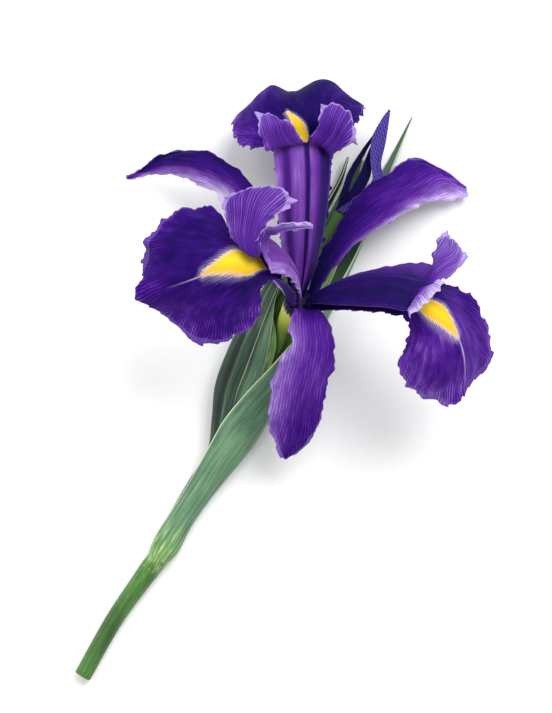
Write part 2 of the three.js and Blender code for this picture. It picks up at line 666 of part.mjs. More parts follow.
function budPetal(name, color) {
  const { seat, rows } = BUD_PETALS[name];
  const clear = budTubeEnd.clone().addScaledVector(stemDirection, CLEARANCE + PETAL_THICKNESS / 2);
  const halfSeat = Math.sqrt(BUD_TUBE_RADIUS ** 2 - seat ** 2);
  const first = [-1, 0, 1].map((u) => {
    const p = clear.clone().addScaledVector(stemSide, u * halfSeat);
    return p.setZ(clear.z + seat);
  });
  const spread = rows.map((row) => row.map(([x, y, z]) => point(x, y, z)));
  return piece(name, thicken([surfaceThrough([first, ...spread], 12, 4)], PETAL_THICKNESS), color, 0.6);
}

// ---------------------------------------------------------------- assembly

const iris = new THREE.Group();
iris.add(
  stem(),
  bract('outer_sheath', OUTER_SHEATH, LEAF_GREEN),
  bract('left_bract', LEFT_BRACT, LEAF_GREEN),
  bract('middle_bract', MIDDLE_BRACT, LEAF_GREEN),
  bract('inner_bract', INNER_BRACT, 0x7fae5c),
  perianthTube(),
  budTube(),
  budPetal('bud_petal_outer', NAVY),
  budPetal('bud_petal_inner', NAVY),
  budPetal('bud_petal_folded', LAVENDER),
);
for (const name of Object.keys(FALLS)) iris.add(fall(name));
for (const name of Object.keys(STANDARDS)) iris.add(standard(name));
for (const name of Object.keys(STYLE_ARMS)) iris.add(styleArm(name));
for (const side of ['left', 'back', 'right']) iris.add(stamen(`stamen_${side}`, `fall_${side}`));

// The origin is under the middle of the whole, on the table.
const bounds = new THREE.Box3().setFromObject(iris);
const middle = bounds.getCenter(new THREE.Vector3());
iris.position.set(-middle.x, -middle.y, -bounds.min.z);
const cutIris = new THREE.Group();
cutIris.add(iris);

export default cutIris;
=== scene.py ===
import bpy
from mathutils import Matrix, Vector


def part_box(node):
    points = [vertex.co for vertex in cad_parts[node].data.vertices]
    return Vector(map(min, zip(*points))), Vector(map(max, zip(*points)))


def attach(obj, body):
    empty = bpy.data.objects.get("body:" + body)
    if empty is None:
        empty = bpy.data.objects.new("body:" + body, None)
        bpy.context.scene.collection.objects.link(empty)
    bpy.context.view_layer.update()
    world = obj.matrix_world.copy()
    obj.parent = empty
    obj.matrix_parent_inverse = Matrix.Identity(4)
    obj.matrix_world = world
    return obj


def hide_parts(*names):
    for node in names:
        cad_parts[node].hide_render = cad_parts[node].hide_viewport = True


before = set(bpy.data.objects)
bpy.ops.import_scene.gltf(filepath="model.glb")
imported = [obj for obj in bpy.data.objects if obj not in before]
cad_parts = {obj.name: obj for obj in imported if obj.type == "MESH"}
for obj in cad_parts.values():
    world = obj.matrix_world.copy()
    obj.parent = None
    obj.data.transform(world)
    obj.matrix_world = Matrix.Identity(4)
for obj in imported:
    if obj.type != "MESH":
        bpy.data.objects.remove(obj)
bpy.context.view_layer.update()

import math

import bpy
import numpy as np
from mathutils import Vector

# ---------------- the bare stem
# A stiff round green stem, cut short, with a swollen node where the sheath's leaf grows.
# It lies on the table at its cut end and runs up inside the sheath.

FLOWER_HEIGHT = 24.0
TUBE_TOP_RADIUS = 4.8


def unit(vectors):
    return vectors / np.maximum(np.linalg.norm(vectors, axis=-1, keepdims=True), 1e-9)


flower_axis = unit(np.array([0.18, 0.52, 0.83]))

# All places below are millimetres from the point of the table under the flower's base.
tube_top = np.array(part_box("perianth_tube")[1]) * 1000
table_point = tube_top - TUBE_TOP_RADIUS * np.sqrt(1 - flower_axis ** 2) - (0, 0, FLOWER_HEIGHT)

STEM_RADIUS = 2.75
STEM_TOP_RADIUS = 2.0
NODE_RADIUS = 3.4
STEM_LENGTH = 46.5
STEM_BOW = 1.2
STEM_SIDES = 96
CUT_EDGE = 0.25
CUT_HOLLOW = 0.35
stem_direction = np.array([0.539, 0.842, 0])
stem_side = np.array([0.842, -0.539, 0])


def curve_through(points, steps):
    """A smooth curve through points (or whole rows of points), in even steps."""
    points = np.asarray(points, float)
    first, last = 2 * points[0] - points[1], 2 * points[-1] - points[-2]
    padded = np.concatenate([first[None], points, last[None]])
    at = np.linspace(0, len(points) - 1, steps + 1)
    k = np.minimum(at.astype(int), len(points) - 2)
    t = (at - k).reshape((-1,) + (1,) * (points.ndim - 1))
    a, b, c, d = (padded[k + i] for i in range(4))
    lean, bend = (c - a) / 2, (d - b) / 2
    return b + t * lean + t ** 2 * (3 * (c - b) - 2 * lean - bend) + t ** 3 * (2 * (b - c) + lean + bend)


def smooth(low, high, value):
    """0 below low, 1 above high and a soft step between them."""
    t = np.clip((value - low) / (high - low), 0, 1)
    return t * t * (3 - 2 * t)


def make_piece(name, points, faces, notes, finish, slot, *nodes):
    """One piece of the flower, riding on the one body, in place of its CAD nodes.
    Notes are numbers kept at every point for the finish to read."""
    mesh = bpy.data.meshes.new(name)
    mesh.from_pydata(((points + table_point) / 1000).tolist(), [], [list(map(int, face)) for face in faces])
    for note, values in notes.items():
        mesh.attributes.new(note, "FLOAT", "POINT").data.foreach_set("value", np.ravel(values))
    mesh.shade_smooth()
    mesh.materials.append(finish)
    piece = bpy.data.objects.new(name, mesh)
    bpy.context.scene.collection.objects.link(piece)
    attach(piece, "root")
    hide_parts(*nodes)
    return piece


def rod(centres, radii, sides, steps, end_axes=(None, None)):
    """A smooth line, the rod's radius along it, rings of points round it, and their turns."""
    line = curve_through(centres, steps)
    radius = curve_through(radii, steps)
    run = np.gradient(line, axis=0)
    for end, axis in zip((0, -1), end_axes):
        if axis is not None:
            run[end] = axis
    run = unit(run)
    side = unit(np.cross((0, 0, 1), run))
    up = np.cross(run, side)
    turn = np.linspace(0, 2 * math.pi, sides, endpoint=False)
    rings = (line[:, None] + radius[:, None, None] * (
        side[:, None] * np.cos(turn)[:, None] + up[:, None] * np.sin(turn)[:, None]))
    return line, radius, rings, turn


def rod_piece(name, ends, rings, finish, slot, node, share=1.0, **more):
    """A rod of rings, closed by a point at each end. Its notes are how far along it each point
    lies, up to share, and the turn round it, from 0 to 1."""
    rows, sides = rings.shape[:2]
    k = np.arange(sides)
    after = (k + 1) % sides
    faces = []
    for i in range(rows - 1):
        a, b = i * sides, (i + 1) * sides
        faces += np.stack([a + k, a + after, b + after, b + k], 1).tolist()
    first, end = rows * sides, (rows - 1) * sides
    faces += [[first, j, i] for i, j in zip(k, after)]
    faces += [[first + 1, end + i, end + j] for i, j in zip(k, after)]
    along = np.linspace(0, share, rows)[:, None] * np.ones(sides)
    around = np.ones((rows, 1)) * k / sides
    notes = {"along": np.append(along, (0, share)), "around": np.append(around, (0, 0)), **more}
    return make_piece(name, np.concatenate([rings.reshape(-1, 3), ends]), faces, notes, finish, slot, node)


class Shade:
    """A socket of a finish. Sums written on it become the finish's Math nodes."""

    def __init__(self, tree, socket=None):
        self.tree, self.socket = tree, socket

    def node(self, kind, settings=(), sockets=(), output=0):
        made = self.tree.nodes.new(kind)
        for key, value in dict(settings).items():
            if key == "stops":
                ramp = made.color_ramp
                while len(ramp.elements) < len(value):
                    ramp.elements.new(1)
                for stop, (place, colour) in zip(ramp.elements, value):
                    stop.position, stop.color = place, (*colour, 1)
            else:
                setattr(made, key, value)
        for key, value in dict(sockets).items():
            if isinstance(value, Shade):
                self.tree.links.new(value.socket, made.inputs[key])
            else:
                made.inputs[key].default_value = value
        return Shade(self.tree, made.outputs[output] if made.outputs else None)

    def sum(self, operation, *others):
        return self.node("ShaderNodeMath", {"operation": operation}, dict(enumerate((self, *others))))

    def __rsub__(self, other):
        return self.node("ShaderNodeMath", {"operation": "SUBTRACT"}, {0: other, 1: self})

    __add__ = __radd__ = lambda self, other: self.sum("ADD", other)
    __mul__ = __rmul__ = lambda self, other: self.sum("MULTIPLY", other)
    __sub__ = lambda self, other: self.sum("SUBTRACT", other)
    __pow__ = lambda self, other: self.sum("POWER", other)

    def wave(self):
        """Evenly spaced lines, one to each whole number: 1 on a line and 0 between two."""
        return 0.5 + 0.5 * (self * math.tau).sum("COSINE")

    def step(self, low, high):
        """0 below low and 1 above high, with a soft step between them."""
        return self.node(
            "ShaderNodeMapRange", {"interpolation_type": "SMOOTHSTEP"}, {0: self, 1: low, 2: high})

    def notes(self, *names):
        return [self.note(name) for name in names]

    def note(self, name):
        return self.node("ShaderNodeAttribute", {"attribute_name": name}, output=2)

    def mottle(self, scale, detail=3.0):
        """Soft random mottling; scale counts patches in a metre."""
        where = self.node("ShaderNodeTexCoord", output=3)
        return self.node("ShaderNodeTexNoise", {}, {"Vector": where, "Scale": scale, "Detail": detail})

    def fibre(self, across, along):
        """Random streaks that run along; both places are in streaks' own lengths."""
        where = self.node("ShaderNodeCombineXYZ", {}, {"X": across, "Y": along})
        return self.node("ShaderNodeTexNoise", {}, {"Vector": where, "Scale": 1, "Detail": 4})

    def under(self, over, share):
        """This colour with a share of another, which is a code or a socket, over it."""
        over = (*rgb(over), 1) if isinstance(over, str) else over
        return self.node("ShaderNodeMix", {"data_type": "RGBA", "clamp_factor": True},
                         {0: share, 6: self, 7: over}, output=2)

    def ramp(self, stops):
        """Colours at places from 0 to 1; colours without places are spread evenly."""
        if isinstance(stops[0], str):
            stops = [(k / (len(stops) - 1), code) for k, code in enumerate(stops)]
        return self.node("ShaderNodeValToRGB", {"stops": [(at, rgb(c)) for at, c in stops]}, {0: self})


def rgb(code):
    """The light of a screen colour such as "4a2c9c"."""
    parts = [int(code[i:i + 2], 16) / 255 for i in (0, 2, 4)]
    return tuple(p / 12.92 if p <= 0.04045 else ((p + 0.055) / 1.055) ** 2.4 for p in parts)


def new_finish(name):
    finish = bpy.data.materials.new(name)
    finish.use_nodes = True
    finish.node_tree.nodes.clear()
    shade = Shade(finish.node_tree)
    shade.finish = finish
    return shade


def surface(shade, colour, roughness, relief, strength=0.35, depth=0.00018, **uniform):
    """Ends a finish: its colour, roughness and relief, and the numbers that are even all over."""
    uniform = {"subsurface_scale": 0.0008, **uniform}
    normal = shade.node(
        "ShaderNodeBump", {}, {"Strength": strength, "Distance": depth, "Height": relief})
    sockets = {"Base Color": colour, "Roughness": roughness, "Normal": normal}
    names = {name: name.replace("_", " ").title().replace("Ior", "IOR") for name in uniform}
    sockets.update({names[name]: value for name, value in uniform.items()})
    shader = shade.node("ShaderNodeBsdfPrincipled", {}, sockets)
    shade.node("ShaderNodeOutputMaterial", {}, {"Surface": shader})
    return shade.finish


# The sheath's middle line, and how deep and wide it is there: x, y, half width, half depth and
# the angles that the leaf covers, where 0 is to the right, 90 up and -90 towards the table.
OUTER_SHEATH = [
    [-46.6, -84, 3.36, 3.36, -180, 178], [-43.5, -78.8, 4.35, 4.2, -180, 174],
    [-39, -71, 4, 3.9, -180, 168], [-32.3, -60.5, 4.5, 4.5, -180, 158],
    [-26, -50.5, 5.9, 5.2, -140, 145], [-21.1, -40.5, 8.1, 6, -125, 122],
    [-17.1, -30.5, 9.7, 6.6, -115, 96], [-12.3, -20.5, 10.5, 7, -110, 76],
    [-7.3, -10.5, 11.2, 7, -105, 60], [-1.8, -0.5, 11.5, 6.5, -100, 40],
    [5.2, 12.5, 11, 5.8, -90, 25], [13.5, 27.5, 9.5, 5.2, -75, 15],
    [23.9, 44.8, 6, 4.5, -55, 10], [34, 61.4, 3, 3.6, -30, -5],
]


def bundle_middle(y):
    """The middle of the bundle of leaves, as high as the sheath is deep, so that it rests."""
    table = np.array(OUTER_SHEATH)
    x, depth = np.interp(y, table[:, 1], table[:, 0]), np.interp(y, table[:, 1], table[:, 3])
    return np.array([x, y, depth + 0.3])


def in_bundle(y, across=0.0, up=0.0):
    return bundle_middle(y) + (across, 0, up)


node_middle = np.array([-46, -83, 3.8])


def below_node(distance, lean, height):
    place = node_middle - stem_direction * distance - stem_side * lean
    place[2] = height
    return place


def stem():
    line, _, rings, turn = rod(
        [below_node(STEM_LENGTH, 0, STEM_RADIUS),
         below_node(0.55 * STEM_LENGTH, STEM_BOW, STEM_RADIUS + 0.5),
         below_node(0.2 * STEM_LENGTH, STEM_BOW / 2, node_middle[2]),
         below_node(0.1 * STEM_LENGTH, STEM_BOW / 4, node_middle[2]),
         node_middle, in_bundle(-71), in_bundle(-60.5), in_bundle(-50.5), in_bundle(-43)],
        [STEM_RADIUS, STEM_RADIUS + 0.05, 0.93 * NODE_RADIUS, NODE_RADIUS, NODE_RADIUS - 0.1,
         STEM_RADIUS, 2.4, STEM_TOP_RADIUS, STEM_TOP_RADIUS],
        STEM_SIDES, steps=420, end_axes=(stem_direction, None))
    ridges = 0.035 * np.sin(17 * turn) + 0.02 * np.sin(31 * turn + 1)
    rings = rings + unit(rings - line[:, None]) * ridges[None, :, None]
    rim = np.linalg.norm(rings[0] - line[0], axis=1)[:, None]
    rings[0] = line[0] + (rings[0] - line[0]) * (1 - CUT_EDGE / rim)
    cut = np.zeros(len(rings) * STEM_SIDES + 2)
    cut[:STEM_SIDES], cut[-2] = 0.6, 1
    return rod_piece("stem_green", [line[0] + stem_direction * CUT_HOLLOW, line[-1]], rings,
                     stem_finish(), "stem", "stem", cut=cut)


STEM_RUN = 130


def stem_finish():
    """Fresh green skin, paler in fine lengthwise lines, with pale scars round the node."""
    shade = new_finish("stem_green")
    along, around = shade.notes("along", "around")
    lines = (around * 34 + shade.mottle(60) * 0.6).wave()
    flecks = shade.mottle(900, 4.0)
    patches = shade.mottle(55, 2.0)
    streaks = shade.fibre(around * 26, along * 9)
    tone = 0.4 + lines * 0.08 + (flecks - 0.5) * 0.3 + (patches - 0.5) * 0.8 + (streaks - 0.5) * 0.7
    colour = tone.ramp([(0, "16360f"), (0.3, "2c561b"), (0.55, "46782b"), (0.8, "709a48"), (1, "a5c07a")])
    distance = along * STEM_RUN
    scar = (distance + shade.mottle(120) * 3 - 48.5).sum("ABSOLUTE").step(0.7, 0.1)
    collar = (distance - 54).step(-9, 4) * (streaks * 4 - 1.7)
    colour = colour.under("b4cf8c", collar.sum("MAXIMUM", scar * flecks.step(0.4, 0.6)) * 0.7)
    colour = colour.under("b8c98a", shade.note("cut") * 0.8)
    relief = lines * 0.5 + flecks * 0.5
    return surface(shade, colour, 0.36 + flecks * 0.2, relief, 0.35, 0.0002, coat_weight=0.12,
                   subsurface_weight=0.06, subsurface_scale=0.001)


stem()

# ---------------- the green leaves
# Four stiff leaves grow from the node and wrap one another round both flowers' tubes. Each is
# a curved sheet with fine lengthwise ribs, a waxy bloom and a thin pale margin.

LEFT_BRACT = [
    [-32.2, -60.5, 3.2, 3.2, 100, 250], [-25.9, -50.5, 4.6, 4, 100, 258],
    [-21.9, -40.5, 7.2, 4.8, 100, 256], [-18.7, -30.5, 9.4, 5.4, 102, 254],
    [-14, -20.5, 10.4, 5.8, 106, 250], [-8.7, -10.5, 10.8, 5.8, 114, 246],
    [-2.7, -0.5, 10.4, 5.3, 128, 240], [5.5, 12.5, 9.5, 4.8, 150, 232],
    [12.5, 24, 8, 4.4, 160, 224], [18, 37, 6, 4, 165, 215], [19, 46.5, 3.5, 3.4, 172, 200],
]
MIDDLE_BRACT = [
    [-25.8, -50.5, 3.3, 2.9, 62, 230], [-21.5, -40.5, 5.4, 3.6, 64, 230],
    [-17.5, -30.5, 7.2, 4.2, 70, 232], [-12.7, -20.5, 8.3, 4.6, 82, 236],
    [-7.5, -10.5, 9, 4.6, 104, 240], [-2.2, -0.5, 9.2, 4.2, 132, 245],
    [4.8, 12.5, 7.7, 3.6, 150, 250], [12.5, 25, 5, 3, 170, 290],
    [16.5, 36, 3, 2.6, 180, 320], [20, 46, 1.5, 2, 200, 310],
]
INNER_BRACT = [
    [-21.3, -40.5, 3.9, 2.5, -300, 45], [-17.5, -30.5, 5.8, 3, -300, 45],
    [-12.7, -20.5, 7, 3.4, -296, 45], [-8.8, -13, 7.7, 3.4, -278, 42],
    [-5, -6, 7.9, 3.4, -235, 38], [-2.2, -0.5, 7.9, 3, -215, 25],
    [5, 12.5, 6.8, 2.4, -170, 0], [12.1, 24, 4, 1.9, -140, -20],
    [15, 29.5, 2, 1.9, -120, -50],
]


def sheet_through(rows, along, across):
    """A fine grid through rows of points that run from edge to edge."""
    return curve_through([curve_through(row, across) for row in rows], along)


def even_grid(rows, columns):
    """For each point of a grid its place along and its place across, from 0 to 1."""
    across = np.ones((rows, 1)) * np.linspace(0, 1, columns)
    return np.linspace(0, 1, rows)[:, None] * np.ones(columns), across


def arc_lengths(grid, axis):
    """How far each point lies along its line of the grid."""
    steps = np.linalg.norm(np.diff(grid, axis=axis), axis=2)
    pad = [(0, 0), (0, 0)]
    pad[axis] = (1, 0)
    return np.pad(np.cumsum(steps, axis=axis), pad)


def facing(grid):
    return unit(np.cross(np.gradient(grid, axis=0), np.gradient(grid, axis=1)))


def raised(grid, height):
    """The grid with each point moved out of its surface by a height."""
    return grid + facing(grid) * height[..., None]


def thick_sheet(grids, notes, thickness):
    """A closed body round one or more grids, which are joined where they share points."""
    points = np.concatenate([grid.reshape(-1, 3) for grid in grids])
    thick = np.concatenate([np.ravel(t * np.ones(g.shape[:2])) for t, g in zip(thickness, grids)])
    _, first, same = np.unique(np.round(points, 3), axis=0, return_index=True, return_inverse=True)
    same = same.ravel()
    faces, start = [], 0
    for grid in grids:
        rows, columns = grid.shape[:2]
        k = same[start:start + rows * columns].reshape(rows, columns)
        faces.append(np.stack([k[:-1, :-1], k[1:, :-1], k[1:, 1:], k[:-1, 1:]], -1).reshape(-1, 4))
        start += rows * columns
    faces = np.concatenate(faces)
    points, thick = points[first], thick[first]
    corners = points[faces]
    slopes = np.cross(corners[:, 2] - corners[:, 0], corners[:, 3] - corners[:, 1])
    normal = np.zeros_like(points)
    for corner in range(4):
        np.add.at(normal, faces[:, corner], slopes)
    normal = unit(normal)
    edges = np.concatenate([faces[:, [i, (i + 1) % 4]] for i in range(4)])
    codes = np.sort(edges, axis=1) @ np.array([len(points), 1])
    _, inverse, used = np.unique(codes, return_inverse=True, return_counts=True)
    rim = edges[used[inverse.ravel()] == 1]
    over = points + normal * thick[:, None] / 2
    under = points - normal * thick[:, None] / 2
    count = len(points)
    rim_faces = np.stack([rim[:, 1], rim[:, 0], rim[:, 0] + count, rim[:, 1] + count], 1)
    all_faces = np.concatenate([faces, faces[:, ::-1] + count, rim_faces])
    kept = {}
    for note in notes[0]:
        values = np.concatenate(
            [np.ravel(each[note] * np.ones(g.shape[:2])) for each, g in zip(notes, grids)])
        kept[note] = np.tile(values[first], 2)
    kept["face"] = np.repeat([1.0, 0.0], count)
    return np.concatenate([over, under]), all_faces, kept


def bract_grid(stations, along, across):
    rows = []
    for i, (x, y, wide, deep, low, high) in enumerate(stations):
        before, after = stations[max(i - 1, 0)], stations[min(i + 1, len(stations) - 1)]
        run = np.array([after[0] - before[0], after[1] - before[1], 0], float)
        side = np.cross(unit(run), (0, 0, 1))
        centre = bundle_middle(y)
        centre[0] = x
        turn = np.radians(np.linspace(low, high, 13))[:, None]
        rows.append(centre + side * wide * np.cos(turn) + np.array([0, 0, 1]) * deep * np.sin(turn))
    return sheet_through(rows, along, across)


def bract(name, stations, finish, slot, node, keel=None, sag=0.0):
    """One leaf. A keel is a low fold along it: its place from 0 to 1 across, and its height."""
    grid = bract_grid(stations, along=260, across=120)
    along, across = even_grid(*grid.shape[:2])
    width = arc_lengths(grid, 1)
    length = arc_lengths(grid, 0)
    from_edge = np.minimum(width, width[:, -1:] - width)
    ribs = 0.018 * np.cos(across * math.tau * 21) + 0.012 * np.cos(across * math.tau * 47 + 2)
    swell = sag * np.sin(length / 9 + across * 5) * (1 - np.exp(-from_edge / 2))
    lift = ribs * smooth(0, 1.2, from_edge) + swell
    if keel:
        place, height = keel
        lift = lift + height * np.exp(-((across - place) / 0.035) ** 2) * smooth(0, 0.2, along)
    grid = raised(grid, lift)
    thickness = (0.28 + 0.3 * smooth(0, 2.5, from_edge)) * smooth(-0.4, 2, length)
    notes = {"across": across, "along": along, "from_edge": from_edge,
             "side": np.where(across < 0.5, 0.0, 1.0)}
    return make_piece(name, *thick_sheet([grid], [notes], [thickness]), finish, slot, node)


def leaf_finish(name, greens, lines, pale, fresh, keel=None):
    """Greens from shade to light; lines across the leaf; the width of the pale margin on its
    last side in millimetres; and how far up the leaf the fresh yellow-green goes."""
    shade = new_finish(name)
    across, along, edge = shade.notes("across", "along", "from_edge")
    ribs = (across * lines + shade.mottle(70) * 0.5).wave()
    fine = (across * lines * 2.7 + shade.mottle(130) * 0.8).wave()
    bloom = shade.mottle(45, 4.0)
    grain = shade.mottle(1500, 3.0)
    streaks = shade.fibre(across * 34, along * 11)
    tone = 0.44 + (ribs - 0.5) * 0.09 + (fine - 0.5) * 0.1 + (bloom - 0.5) * 0.6 + (grain - 0.5) * 0.16
    tone = tone + (streaks - 0.5) * 0.75 - along.step(0.76, 0.92) * 0.2
    if keel is not None:
        # Painted light and shade on the keel: a lighter stripe on its ridge and a painted shadow in the
        # groove beside it.
        ridge = ((across - keel) * 16).sum("ABSOLUTE").step(1.0, 0.0)
        groove = ((across - keel - 0.09) * 14).sum("ABSOLUTE").step(1.0, 0.0)
        tone = tone + ridge * 0.2 - groove * 0.28
    colour = tone.ramp(greens)
    colour = colour.under("7fae4c", along.step(fresh, fresh - 0.2) * (streaks * 3 - 0.8))
    pale_base = along.step(fresh, fresh - 0.14) * streaks.step(0.5, 0.66)
    colour = colour.under("c4dba4", pale_base * 0.75)
    margin = (edge + (bloom - 0.5) * 0.3).step(pale, pale * 0.4) * shade.note("side")
    thin_rim = edge.step(0.3, 0.1) * along.step(0.2, 0.36) * 0.75
    colour = colour.under("dbe7c4", margin.sum("MAXIMUM", thin_rim) * 0.85)
    colour = colour.under("a9b79a", bloom.step(0.52, 0.75) * 0.18)
    relief = ribs * 0.5 + fine * 0.3 + grain * 0.25
    return surface(shade, colour, 0.42 + bloom * 0.25, relief, 0.4, 0.0002,
                   specular_ior_level=0.4, subsurface_weight=0.05, subsurface_scale=0.001)


GREY_GREENS = ["243c32", "42624f", "628966", "7fa67f", "a1c09a"]
DARK_GREENS = ["0b1413", "15241f", "2c4a39", "4c6e53", "7b9a79"]
FRESH_GREENS = ["2f5a2a", "4f8040", "74a455", "96c072", "bcd898"]

bract("outer_sheath_leaf", OUTER_SHEATH, leaf_finish("sheath_leaf", GREY_GREENS, 15, 0.5, 0.18),
      "bract", "outer_sheath", sag=0.12)
bract("left_leaf", LEFT_BRACT, leaf_finish("left_leaf", DARK_GREENS, 12, 0.25, 0.0, keel=0.14),
      "bract", "left_bract", keel=(0.13, 0.35), sag=0.1)
bract("middle_leaf", MIDDLE_BRACT, leaf_finish("middle_leaf", GREY_GREENS, 11, 1.5, 0.0),
      "bract", "middle_bract", sag=0.08)
bract("inner_leaf", INNER_BRACT, leaf_finish("inner_leaf", FRESH_GREENS, 16, 0.4, 0.9),
      "inner_bract", "inner_bract", sag=0.05)


# ---------------- the flowers' tubes
# Under each flower the ovary and the tube above it are one smooth fleshy green-yellow piece
# with three low ribs, standing on the stem's end inside the leaves.

TUBES = {
    "perianth_tube": (
        [in_bundle(-43) + stem_direction * 0.3 + stem_side * 1.3,
         in_bundle(-30, 1.4), in_bundle(-16.5, 2.3), (-5.6, -10, 8), (-4.2, -6, 12),
         (-2.2, -2.8, 17.5), (0, 0, FLOWER_HEIGHT)],
        [1.1, 2, 2.2, 2.4, 3, 3.9, TUBE_TOP_RADIUS], flower_axis),
    "bud_tube": (
        [in_bundle(-43) + stem_direction * 0.3 - stem_side * 1.3,
         in_bundle(-28.5, -3.9), in_bundle(-14, -4.3), in_bundle(-2.5, -5, 0.4),
         in_bundle(10, -3.4, 0.7), in_bundle(20, -1.9, 1.1), in_bundle(28.5, -1.6, 1.1)],
        [1.1, 1.4, 1.6, 1.5, 1.5, 1.6, 1.8], None),
}


def tube_finish():
    """Waxy skin, green low down and yellow towards the flower, with painted shade, dark violet to near
    black, where it runs under its petals.
    """
    shade = new_finish("tube_skin")
    along, around = shade.notes("along", "around")
    lines = (around * 18 + shade.mottle(120) * 0.5).wave()
    speck = shade.mottle(1200, 3.0)
    tone = along + (lines - 0.5) * 0.03 + (speck - 0.5) * 0.08
    # The last two stops are painted shade at the tube's top, in the dark centre under the petals.
    colour = tone.ramp([(0, "33502a"), (0.28, "46683a"), (0.5, "6f9440"), (0.66, "a9c24c"),
                        (0.86, "d2d662"), (0.9, "3a2c60"), (0.93, "110838")])
    return surface(shade, colour, 0.35 + speck * 0.2, lines + speck, 0.3, 0.00015, specular_ior_level=0.12,
                   subsurface_weight=0.08, subsurface_scale=0.001)


tube_skin = tube_finish()
for tube, (centres, radii, end_axis) in TUBES.items():
    line, _, rings, turn = rod(centres, radii, 72, steps=200, end_axes=(stem_direction, end_axis))
    bulge = 1 + 0.035 * np.cos(3 * turn) + 0.012 * np.cos(12 * turn)
    rings = line[:, None] + (rings - line[:, None]) * bulge[None, :, None]
    ripe = 1.0 if end_axis is not None else 0.3
    rod_piece(tube + "_skin", line[[0, -1]], rings, tube_skin, "tube", tube, ripe)

# ---------------- the three falls
# A fall is an outer petal: a narrow trough, the haft, that turns out into a broad drooping
# blade. The tissue is thin and velvety, dark violet with branching veins and a yellow signal.

across_zero = unit(np.array([1.0, 0, 0]) - flower_axis * flower_axis[0])
across_quarter = np.cross(flower_axis, across_zero)
flower_base = np.array([0, 0, FLOWER_HEIGHT])
PETAL_RING = 4.2
STYLE_RING = 1.9
RING_HEIGHT = 0.6
AZIMUTH = {"fall_back": 99.6, "fall_left": 208.6, "fall_right": 330,
           "standard_left": 154.1, "standard_front": 269.3, "standard_right": 34.8}

SIDE_HAFT = [
    [4.2, 0.4], [8.5, 6.5, 4.6, 4.6, 1.2], [16, 15, 7.6, 7, 2.2], [24.5, 24, 8.6, 8.2, 2.4],
    [31.5, 31, 9, 8.8, 1.8], [38, 34.5],
]
LEFT_HAFT = [
    [4.2, 0.4], [7.2, 7.5, 4, 4, 1.2], [11.5, 17, 6, 6, 2.2], [16.5, 27, 7.5, 7.5, 2.4],
    [21, 35, 8.5, 8.5, 1.8], [26.7, 39.5],
]
